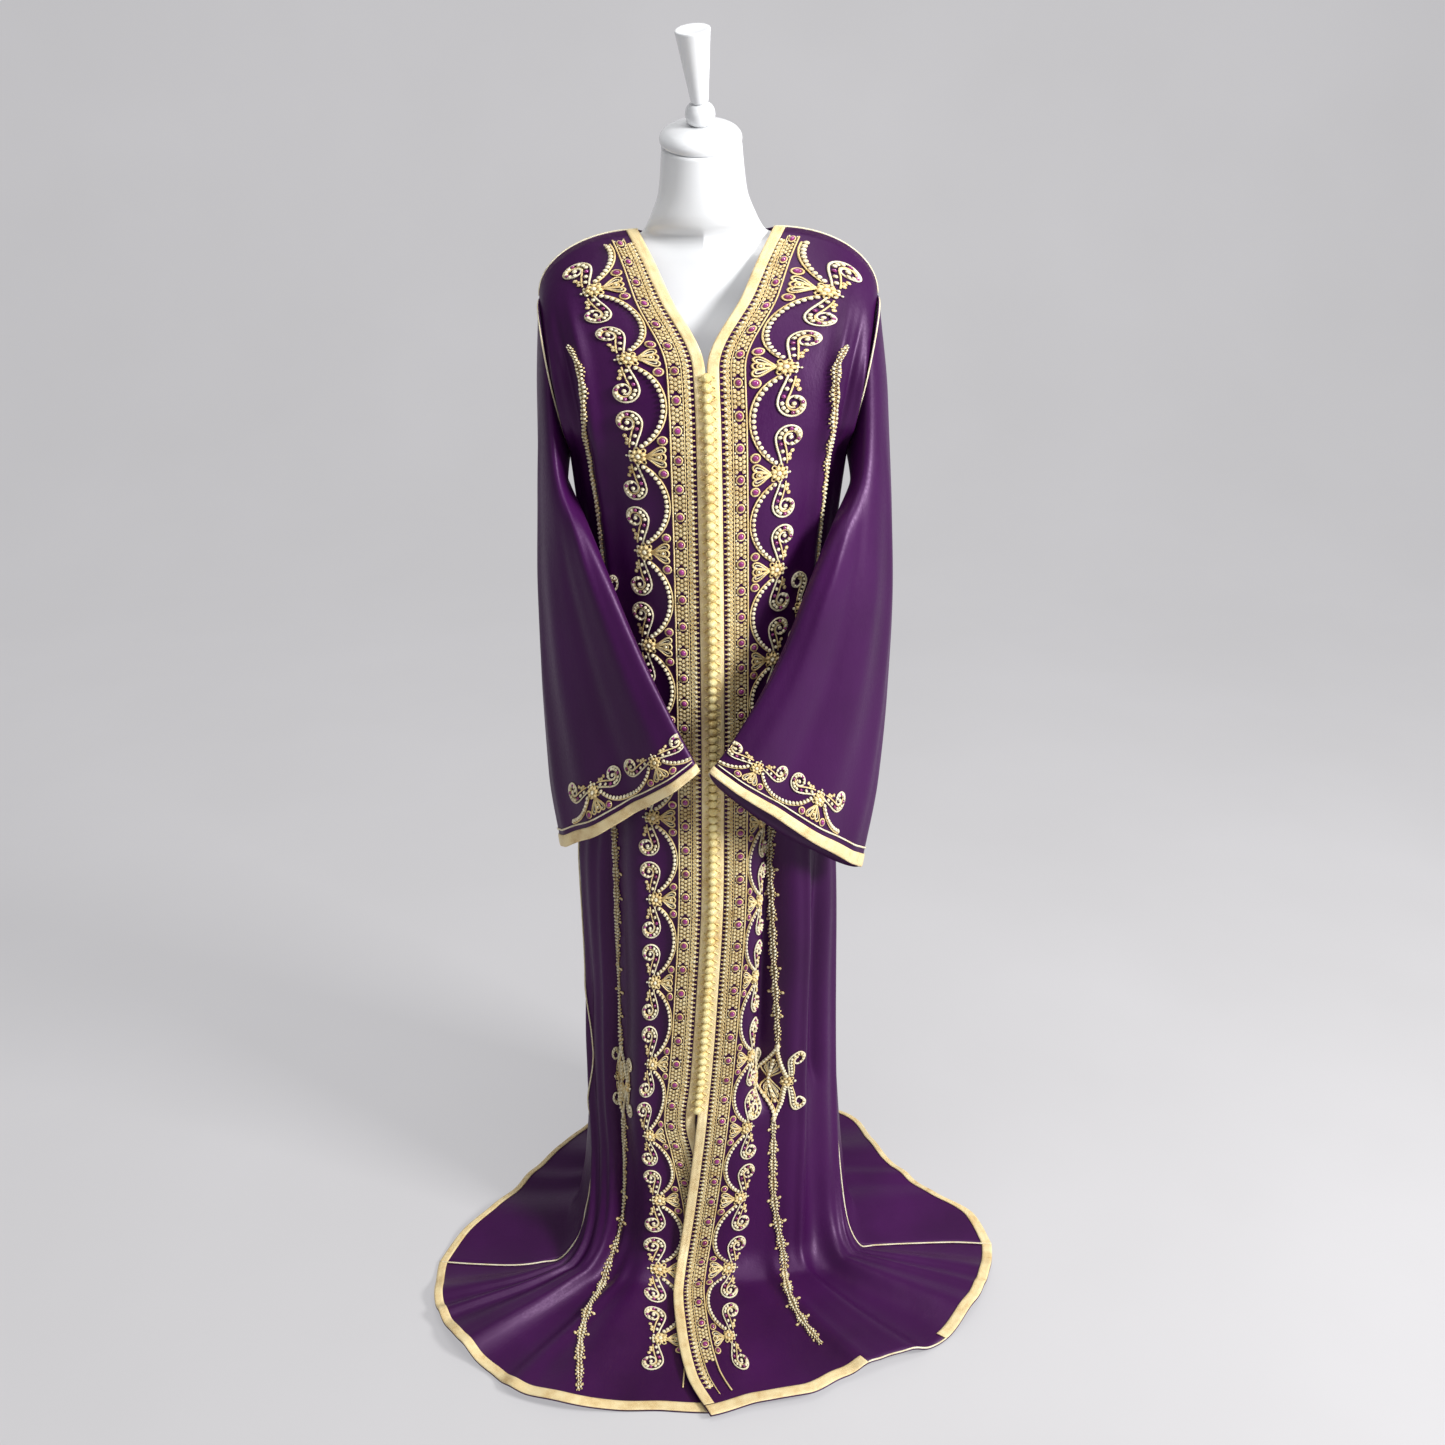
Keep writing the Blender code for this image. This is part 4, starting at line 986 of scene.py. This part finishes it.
def buildFlower(work):
    x = scroll["flowerAcross"]
    for k in range(7):
        turn = 2 * math.pi * k / 7
        addBead(work["gold"], x + 0.0058 * math.cos(turn), 0.0058 * math.sin(turn), 0.0027, 0.0028, 2)
        addPetal(work["gold"], x, 0, turn + 0.45, 0.0108, 0.0046, 0.0009, 9)
    addBead(work["pearl"], x, 0, 0.0030, 0.0034, 2)
    addRing(work["gold"], x, 0, 0.0034, 0.0008, 10, 4)
    for step, size in ((0.0095, 0.0021), (0.0130, 0.0015)):
        addBead(work["pearl"], x + step, 0, size)
    for sign in (-1, 1):
        addBead(work["pearl"], x + 0.0085, sign * 0.0055, 0.0018)


# the bud between a flower and the cord line, with a stone to either side
def buildBud(work):
    x = scroll["flowerAcross"] - 0.0075
    for turn in (-0.46, 0.46):
        addPetal(work["gold"], x, 0, math.pi + turn, 0.0225, 0.0075, 0.0011, 14)
        addPetal(work["pearl"], x - 0.002, 0, math.pi + turn, 0.0175, 0.0040, 0.0008, 12)
    addPetal(work["gold"], x, 0, math.pi, 0.0205, 0.0085, 0.0011, 14)
    addRing(work["gold"], 0.0125, 0, 0.0030, 0.0009, 10, 4)
    addBead(work["pearl"], 0.0125, 0, 0.0019, 0.0020)
    for sign in (-1, 1):
        y = sign * scroll["stoneAlong"]
        addRing(work["gold"], scroll["stoneAcross"], y, 0.0045, 0.0011, 12, 4)
        addBead(work["stone"], scroll["stoneAcross"], y, 0.0035, 0.0024, 2)


def buildArc(work):
    half = scroll["halfRepeat"]
    addCord(work["gold"], arcPath(0.0, half) - np.array([scroll["arcEdge"], 0, 0]), scroll["cord"], 5)
    beadsAlong(work["pearl"], arcPath(0.0, half), scroll["arcPitch"], scroll["arcBead"], 0.0024, 2)


def buildVolute(work):
    addCord(work["pearl"], volutePath(0.0, scroll["curlTurns"]), scroll["cord"] * 1.2, 5)
    addCord(work["gold"], volutePath(0.0086, 0.62, 22), scroll["cord"], 5)
    fill = volutePath(0.0042, 0.72, 30)
    for k, at in enumerate(np.linspace(2, len(fill) - 1, 13)):
        x, y = fill[int(at), :2]
        addBead(work["stone" if k % 4 == 2 else "pearl"], float(x), float(y), 0.0024, 0.0024, 1)
    addBead(work["pearl"], scroll["eyeAcross"], scroll["eyeAlong"], 0.0024, 0.0022, 2)
    for x, y in ((0.0440, 0.0200), (0.0462, 0.0245), (0.0445, 0.0155)):
        addRing(work["gold"], x, y, 0.0017, 0.0008, 7, 4)
        addBead(work["pearl"], x, y, 0.0012)


flowerMotif, budMotif = motif("flower", buildFlower), motif("bud", buildBud)
arcMotif, voluteMotif = motif("arc", buildArc), motif("volute", buildVolute)


# one flower with its bud and both volutes, and the arc that follows it
def stampScroll(work, place, parts=("flower", "bud", "arc", "volutes")):
    if "arc" in parts:
        stamp(work, arcMotif, place)
    if "volutes" in parts:
        stamp(work, voluteMotif, place)
        stamp(work, voluteMotif, lambda flat: place(flat * np.array([1, -1, 1])))
    if "flower" in parts:
        stamp(work, flowerMotif, place)
    if "bud" in parts:
        stamp(work, budMotif, place)


def trimWork(work, low, high):
    for bm in work.values():
        spare = [f for f in bm.faces if not low <= f.calc_center_median().y <= high]
        bmesh.ops.delete(bm, geom=spare, context="FACES")


for side in ("left", "right"):
    label = side.capitalize()
    top, end = bandEnds["top"], bandEnds[side]

    def placeAt(count, across, size=1.0, side=side):
        drop = float(flowerDrop(side, count))
        stretch = float(flowerDrop(side, count + 0.5) - flowerDrop(side, count - 0.5)) / edging["repeat"]

        def place(flat):
            x = (across + flat[:, 0] * size) * drawIn(drop)
            return stack(x, drop + flat[:, 1] * size * stretch, flat[:, 2])

        return place

    strip = newWork()
    for made, across, perRepeat in (
        (picotMotif, edging["picotAcross"], edging["picots"]),
        (ringMotif, edging["ringAcross"], edging["rings"]),
        (stoneMotif, edging["stoneAcross"], edging["stones"]),
    ):
        first = math.ceil(bandEnds["firstFlower"] * perRepeat)
        last = int(bandEnds["lastFlower"] * perRepeat)
        for k in range(first, last):
            drop = float(flowerDrop(side, k / perRepeat))
            if top < drop < end:
                stamp(strip, made, placeAt(k / perRepeat, across))
    along = np.linspace(top, end, 420)
    for across, radius in ((edging["lineAcross"], 0.0007), (edging["cordAcross"], edging["cord"])):
        addCord(strip["gold"], stack(across * drawIn(along), along, radius), radius, 5)
    dressWork("edge" + label, strip, wraps[side], "embroidered_band_" + side)
    print("edge", side)

    border = newWork()
    count = len(flowerRows[side])
    for k in range(-1, count):
        at = [float(flowerDrop(side, k + f)) for f in (-1, 0, 1)]

        def place(flat, at=at, side=side):
            part = flat[:, 1] / edging["repeat"]
            drop = at[1] + np.where(part > 0, part * (at[2] - at[1]), part * (at[1] - at[0]))
            cord = edging["cordAcross"] * drawIn(drop)
            grow = (flowerAcross(side, drop) - cord) / scroll["flowerAcross"]
            return stack(cord + flat[:, 0] * grow, drop, flat[:, 2])

        follows = ("arc",) if at[2] < end else ()
        stampScroll(border, place, ("arc",) if k < 0 else ("flower", "bud", "volutes") + follows)
    trimWork(border, top + bandEnds["margin"], end - bandEnds["margin"])
    dressWork("scroll" + label, border, wraps[side])
    print("scroll", side)

# the same border above each cuff, with two flowers

cuffWork = {"cord": 0.0205, "flowers": (0.050, 0.166), "start": 0.004, "endPart": 0.985, "narrow": 0.94}
for side in ("left", "right"):
    wrap, lengths = cuffWraps[side]
    half = float(lengths[cuffTurns // 2]) * cuffWork["endPart"]
    border = newWork()
    spacing = cuffWork["flowers"][1] - cuffWork["flowers"][0]
    for k in (-1, 0, 1):
        def place(flat, at=cuffWork["flowers"][0] + spacing * k):
            return stack(cuffWork["cord"] + flat[:, 0] * cuffWork["narrow"], at + flat[:, 1], flat[:, 2])

        stampScroll(border, place, ("arc",) if k < 0 else ("flower", "bud", "arc", "volutes"))
    trimWork(border, cuffWork["start"], cuffWork["flowers"][-1] + scroll["halfRepeat"])
    along = np.linspace(cuffWork["start"], half, 90)
    addCord(border["pearl"], stack(cuffWork["cord"], along, 0.0010), 0.0010, 5)
    dressWork("cuffScroll" + side.capitalize(), border, wrap, "cuff_band_" + side)
print("cuff embroidery made")

# stems on the princess lines: drop and distance from the front edge, in stretches, with a lyre where two meet

stem = {
    "step": 0.0054, "wide": 0.0027, "picotEvery": 7, "picotOut": 0.0088, "picotsFrom": 0.78,
    "lyreTop": 0.055, "lyreWide": 0.027, "lyreSquash": {"left": 0.62, "right": 1.0}, "taper": 0.05,
    "slim": 0.56, "swell": 0.34, "uneven": 0.30, "beat": 1.1, "aim": 0.004,
}
stemRows = {
    "left": (
        ((0.148, 0.147), (0.220, 0.145), (0.286, 0.157), (0.322, 0.160), (0.374, 0.150), (0.440, 0.148)),
        ((0.550, 0.150), (0.700, 0.146), (0.850, 0.146), (1.014, 0.146), (1.102, 0.139), (1.140, 0.130)),
        ((1.250, 0.118), (1.336, 0.138), (1.422, 0.154), (1.508, 0.176), (1.590, 0.190), (1.684, 0.178)),
    ),
    "right": (
        ((0.156, 0.153), (0.236, 0.150), (0.316, 0.151), (0.396, 0.150), (0.440, 0.148)),
        (
            (0.550, 0.142), (0.700, 0.112), (0.796, 0.098), (0.890, 0.106), (0.980, 0.115), (1.074, 0.127),
            (1.135, 0.134),
        ),
        ((1.245, 0.114), (1.356, 0.127), (1.482, 0.160), (1.558, 0.168), (1.646, 0.190)),
    ),
}


def buildStemPart(work):
    for sign in (-1, 1):
        addBead(work["pearl"], sign * stem["wide"], 0.0010 * sign, 0.0021, 0.0024)
        addBead(work["gold"], sign * 0.0052, 0.0024 + 0.0010 * sign, 0.0013, 0.0014)
    addRing(work["gold"], 0.0004, 0.0023, 0.0016, 0.0007)


def buildStemPicot(work):
    for sign in (-1, 1):
        addCord(work["gold"], [(sign * 0.0050, 0, 0.0008), (sign * 0.0072, 0.0008, 0.0008)], 0.0008, 4)
        addRing(work["gold"], sign * stem["picotOut"], 0.0010, 0.0017, 0.0008)
        addBead(work["pearl"], sign * stem["picotOut"], 0.0010, 0.0012)


# four beaded arcs in a lens, a flower on either hand, a bud between, and a pair of volutes off each flower
def buildLyre(work):
    top, wide = stem["lyreTop"], stem["lyreWide"]
    t = np.linspace(0, 1, 16)
    for sideSign in (-1, 1):
        for endSign in (-1, 1):
            x = sideSign * (wide * t**1.4)
            y = endSign * (top * (1 - t) + 0.006 * t)
            addCord(work["gold"], stack(x - sideSign * 0.0034, y, 0.0011), 0.0011, 5)
            beadsAlong(work["pearl"], stack(x, y, 0), 0.0050, 0.0026, 0.0026, 2)
            scale = np.array([sideSign * 0.86, endSign * 0.86, 1.0])
            shift = np.array([sideSign * (wide - 0.029), 0, 0])
            addCord(work["pearl"], volutePath(0.0, 1.2, 34) * scale + shift, 0.0013, 5)
            addCord(work["gold"], volutePath(0.0080, 0.6, 20) * scale + shift, 0.0010, 5)
            beadsAlong(work["pearl"], volutePath(0.0040, 0.7, 22) * scale + shift, 0.0050, 0.0021, 0.0022)
        for k in range(6):
            turn = 2 * math.pi * k / 6
            x, y = sideSign * wide + 0.0054 * math.cos(turn), 0.0054 * math.sin(turn)
            addBead(work["gold"], x, y, 0.0026, 0.0028, 2)
            addPetal(work["gold"], sideSign * wide, 0, turn + 0.5, 0.0100, 0.0044, 0.0009, 9)
        addBead(work["pearl"], sideSign * wide, 0, 0.0028, 0.0032, 2)
        addBead(work["pearl"], sideSign * (wide + 0.0115), 0, 0.0021)
    for angle in (math.pi / 2, -math.pi / 2):
        for turn, length in ((-0.62, 0.026), (-0.25, 0.034), (0.25, 0.034), (0.62, 0.026)):
            addPetal(work["gold"], 0, 0, angle + turn, length, 0.0085, 0.0012, 14)
            addPetal(work["pearl"], 0, math.copysign(0.004, angle), angle + turn, length * 0.66, 0.0042, 0.0010, 10)
    for y in np.linspace(-0.030, 0.030, 11):
        addBead(work["pearl"], 0.0, float(y), 0.0026, 0.0026, 2)
    for end in (-top, top):
        addBead(work["pearl"], 0.0, end, 0.0030, 0.0030, 2)


stemMotif, stemPicotMotif = motif("stem", buildStemPart), motif("stemPicot", buildStemPicot)
lyreMotif = motif("lyre", buildLyre)
for side in ("left", "right"):
    vine = newWork()
    for rows in stemRows[side]:
        drops, acrosses = np.array(rows).T
        fine = np.linspace(drops[0], drops[-1], 200)
        line = np.array([smoothValue(d, drops, acrosses) for d in fine])
        steps = np.concatenate([[0], np.cumsum(np.hypot(np.diff(fine), np.diff(line)))])
        total = int(steps[-1] / stem["step"])
        for k in range(total):
            here = (k + 0.5) * stem["step"]
            x, y = float(np.interp(here, steps, line)), float(np.interp(here, steps, fine))
            low, high = here - stem["aim"], here + stem["aim"]
            dx, dy = (float(np.interp(high, steps, v) - np.interp(low, steps, v)) for v in (line, fine))
            turn = math.atan2(dx, dy)
            full = min(here / stem["taper"], (steps[-1] - here) / stem["taper"], 1.0)
            size = stem["slim"] + stem["swell"] * full
            size *= 1 + stem["uneven"] * math.sin(k * stem["beat"])

            def place(flat, x=x, y=y, turn=turn, size=size):
                px = flat[:, 0] * math.cos(turn) + flat[:, 1] * math.sin(turn)
                py = -flat[:, 0] * math.sin(turn) + flat[:, 1] * math.cos(turn)
                return stack(x + px * size, y + py, flat[:, 2])

            stamp(vine, stemMotif, place)
            if k % stem["picotEvery"] == 2 and y > stem["picotsFrom"]:
                stamp(vine, stemPicotMotif, place)
    for above, below in zip(stemRows[side], stemRows[side][1:]):
        middle = ((above[-1][1] + below[0][1]) / 2, (above[-1][0] + below[0][0]) / 2)
        lean = (below[0][1] - above[-1][1]) / (below[0][0] - above[-1][0])

        def place(flat, middle=middle, lean=lean, squash=stem["lyreSquash"][side]):
            return stack(middle[0] + flat[:, 0] * squash + flat[:, 1] * lean, middle[1] + flat[:, 1], flat[:, 2])

        stamp(vine, lyreMotif, place)
    dressWork("stems" + side.capitalize(), vine, wraps[side])
print("stems made")

# thin gold cord on the seams

piping = {
    "radius": 0.0011, "start": 0.32,
    "seamDrops": {"Left": (0.55, 0.62, 0.80, 1.05, 1.17, 1.40, 1.52), "Right": (0.55, 0.62, 1.30, 1.40, 1.52)},
    "seamTurns": {"Left": (1.0, 0.86, 0.80, 0.78, 0.72, 0.85, 1.0), "Right": (1.0, 0.88, 0.86, 0.90, 1.0)},
}


def seamCord(name, path, closed=False):
    bm = bmesh.new()
    addCord(bm, path, piping["radius"], 6, closed)
    addPiece(name, bm, pearlMat, "trim")


for side in ("left", "right"):
    label = side.capitalize()
    drops = np.linspace(piping["start"], hemDrop, 260)
    turns = np.interp(drops, piping["seamDrops"][label], piping["seamTurns"][label])
    out = panelNormal("front" + label, np.minimum(turns, 0.995), drops)
    seamCord("sideSeamCord" + label, panelPoint("front" + label, turns, drops) + out * piping["radius"])
    across = np.linspace(0.0, 1.0, 40)
    seamCord("shoulderCord" + label, panelPoint("front" + label, across, 0 * across) + np.array([0, 0.001, 0.0008]))
    turns = np.linspace(0, 1, 90, endpoint=False)
    seamCord("armholeCord" + label, sleevePoint(side, 0 * turns + 0.004, turns, 0.0006), closed=True)
print("seam cords made")

# the dress form: turned pieces above the neck, leaned to the front, the finial to the left as well

form = {
    "lean": math.radians(20), "finialLean": math.radians(4.5), "centreX": 0.009, "shiftX": -0.001,
    "neckTop": 1.511, "leanStart": 1.460, "finialFoot": 0.0446,
}


def spunProfile(profile, segments=72):
    bm = bmesh.new()
    last = None
    for r, z in profile:
        vert = bmesh.ops.create_vert(bm, co=(r, 0, z))["vert"][0]
        if last is not None:
            bm.edges.new((last, vert))
        last = vert
    bmesh.ops.spin(
        bm, geom=bm.verts[:] + bm.edges[:], cent=(0, 0, 0), axis=(0, 0, 1), dvec=(0, 0, 0),
        angle=2 * math.pi, steps=segments, use_merge=True, use_duplicate=False,
    )
    bmesh.ops.remove_doubles(bm, verts=bm.verts, dist=1e-5)
    return bm


capProfile = (
    (0.0, 0.0), (0.0450, 0.0), (0.0466, 0.0006), (0.0477, 0.0028), (0.0480, 0.0058), (0.0469, 0.0092),
    (0.0440, 0.0128), (0.0395, 0.0154), (0.0330, 0.0175), (0.0255, 0.0190), (0.0180, 0.0199), (0.0, 0.0201),
)
collarProfile = (
    (0.0, 0.0205), (0.0115, 0.0205), (0.0138, 0.0222), (0.0158, 0.0249), (0.0170, 0.0282), (0.0174, 0.0312),
    (0.0170, 0.0350), (0.0159, 0.0382), (0.0138, 0.0411), (0.0110, 0.0430), (0.0, 0.0430),
)
finialProfile = (
    (0.0, 0.0), (0.0095, 0.0), (0.0101, 0.0015), (0.0106, 0.0040), (0.0126, 0.0205), (0.0150, 0.0370),
    (0.0173, 0.0562), (0.0198, 0.0742), (0.0200, 0.0757), (0.0196, 0.0770), (0.0188, 0.0775),
    (0.0172, 0.0773), (0.0, 0.0765),
)
lean = Matrix.Rotation(form["lean"], 4, "X")
seat = Matrix.Translation((form["centreX"] + form["shiftX"], 0, form["neckTop"] + 0.0004)) @ lean
foot = seat @ Matrix.Translation((0, 0, form["finialFoot"])) @ Matrix.Rotation(-form["finialLean"], 4, "Y")
for name, profile, node, move in (
    ("formCap", capProfile, "form_neck_cap", seat), ("formCollar", collarProfile, "form_collar", seat),
    ("formFinial", finialProfile, "form_finial", foot),
):
    bm = spunProfile(profile)
    bmesh.ops.transform(bm, matrix=move, verts=bm.verts)
    addPiece(name, bm, formMat, "form", node)

torsoRows = (
    (0.700, 0.104, 0.072, 0.072, 2.0), (0.725, 0.128, 0.088, 0.088, 2.0),
    (0.800, 0.134, 0.096, 0.096, 2.0), (0.920, 0.112, 0.084, 0.080, 2.0), (1.050, 0.128, 0.104, 0.088, 2.0),
    (1.150, 0.140, 0.122, 0.092, 2.0), (1.240, 0.150, 0.092, 0.084, 2.0), (1.300, 0.160, 0.066, 0.066, 1.9),
    (1.340, 0.162, 0.048, 0.050, 1.8), (1.368, 0.152, 0.042, 0.040, 1.4), (1.388, 0.132, 0.038, 0.036, 1.15),
    (1.409, 0.0935, 0.029, 0.034, 1.0), (1.4145, 0.0745, 0.033, 0.034, 1.3), (1.4210, 0.0690, 0.037, 0.037, 1.8),
    (1.434, 0.0620, 0.042, 0.043, 2.0), (1.460, 0.0520, 0.045, 0.045, 2.0), (1.511, 0.0465, 0.0465, 0.0465, 2.0),
)
torsoColumns = ("z", "wide", "front", "back", "power")
torsoCurves = curvesOf(torsoRows, torsoColumns, 401)


def placeTorso(across, along):
    foot = torsoRows[0][0]
    z = foot + along * (form["neckTop"] - foot)
    wide, frontDeep, backDeep, power = (np.interp(z, torsoCurves["z"], torsoCurves[n]) for n in torsoColumns[1:])
    angle = 2 * math.pi * across
    x = np.sign(np.cos(angle)) * np.abs(np.cos(angle)) ** (2 / power)
    y = np.sign(np.sin(angle)) * np.abs(np.sin(angle)) ** (2 / power)
    y = y * np.where(y > 0, backDeep, frontDeep)
    leaned = np.clip((z - form["leanStart"]) / (form["neckTop"] - form["leanStart"]), 0, 1)
    return stack(form["centreX"] + wide * x, y, z + y * math.tan(form["lean"]) * leaned)


bm = gridMesh(72, 170, placeTorso, weld=True)
bmesh.ops.holes_fill(bm, edges=[e for e in bm.edges if e.is_boundary], sides=0)
addPiece("formTorso", bm, formMat, "form", "form_torso")

poleProfile = ((0.0, 0.0064), (0.011, 0.0064), (0.011, 0.6996), (0.0, 0.6996))
baseProfile = ((0.0, 0.0), (0.130, 0.0), (0.130, 0.004), (0.1292, 0.0055), (0.128, 0.006), (0.0, 0.006))
addPiece("standPole", spunProfile(poleProfile, 48), metalMat, "stand", "form_pole", smooth=False)
addPiece("standBase", spunProfile(baseProfile, 96), metalMat, "stand", "form_base", smooth=False)
print("form made")

for side in ("left", "right"):
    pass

# floor and backdrop in one sweep, light and camera

sweep = {"glow": 0.42, "front": -4.0, "turn": 2.6, "radius": 1.6, "high": 5.0, "half": 6.0}
sweepMat = gloss("studio sweep", (0.22, 0.215, 0.215), (0.25, 0.245, 0.248), 0.7, 0.0, 0.0, 1.5, 40.0, 0.02)
sweepShader = sweepMat.node_tree.nodes["Principled BSDF"]
sweepShader.inputs["Emission Color"].default_value = (0.98, 0.97, 1.0, 1)
sweepShader.inputs["Emission Strength"].default_value = sweep["glow"]


def placeSweep(across, along):
    bend = sweep["radius"] * math.pi / 2
    flat = sweep["turn"] - sweep["front"]
    s = along * (flat + bend + sweep["high"])
    angle = np.clip((s - flat) / sweep["radius"], 0, math.pi / 2)
    y = sweep["front"] + np.minimum(s, flat) + sweep["radius"] * np.sin(angle)
    z = sweep["radius"] * (1 - np.cos(angle)) + np.maximum(s - flat - bend, 0)
    return stack((across - 0.5) * 2 * sweep["half"], y, z - 0.0005)


backdrop = linkMesh("studioSweep", gridMesh(2, 120, placeSweep), sweepMat)

world = bpy.data.worlds.new("studio")
world.use_nodes = True
skyInputs = world.node_tree.nodes["Background"].inputs
skyInputs["Color"].default_value = (0.95, 0.96, 1.0, 1)
skyInputs["Strength"].default_value = 0.22
bpy.context.scene.world = world


def areaLight(name, place, target, size, power):
    lamp = bpy.data.lights.new(name, "AREA")
    lamp.size = size
    lamp.energy = power
    obj = bpy.data.objects.new(name, lamp)
    obj.location = place
    obj.rotation_euler = (Vector(target) - Vector(place)).to_track_quat("-Z", "Y").to_euler()
    bpy.context.scene.collection.objects.link(obj)


areaLight("keyRight", (2.3, -1.3, 2.1), (0.0, 0.0, 0.7), 0.7, 120)
areaLight("fillLeft", (-2.2, -1.8, 1.6), (0.0, 0.0, 0.7), 1.6, 5)
areaLight("topSoft", (0.3, -0.6, 3.2), (0.0, 0.0, 0.6), 1.4, 30)

view = {
    "place": (0.019, -1.71, 1.52), "down": 23.3, "roll": -1.2, "sensor": 36.0,
    "focalPixels": 1367.0, "framePixels": 1445.0,
}
camera = bpy.data.cameras.new("camera")
camera.sensor_width = view["sensor"]
camera.lens = view["sensor"] * view["focalPixels"] / view["framePixels"]
cameraObj = bpy.data.objects.new("camera", camera)
tilted = Matrix.Rotation(math.radians(90 - view["down"]), 4, "X")
turned = tilted @ Matrix.Rotation(math.radians(view["roll"]), 4, "Z")
cameraObj.matrix_world = Matrix.Translation(view["place"]) @ turned
bpy.context.scene.collection.objects.link(cameraObj)
bpy.context.scene.camera = cameraObj
bpy.context.scene.view_settings.view_transform = "Standard"


print("scene finished")
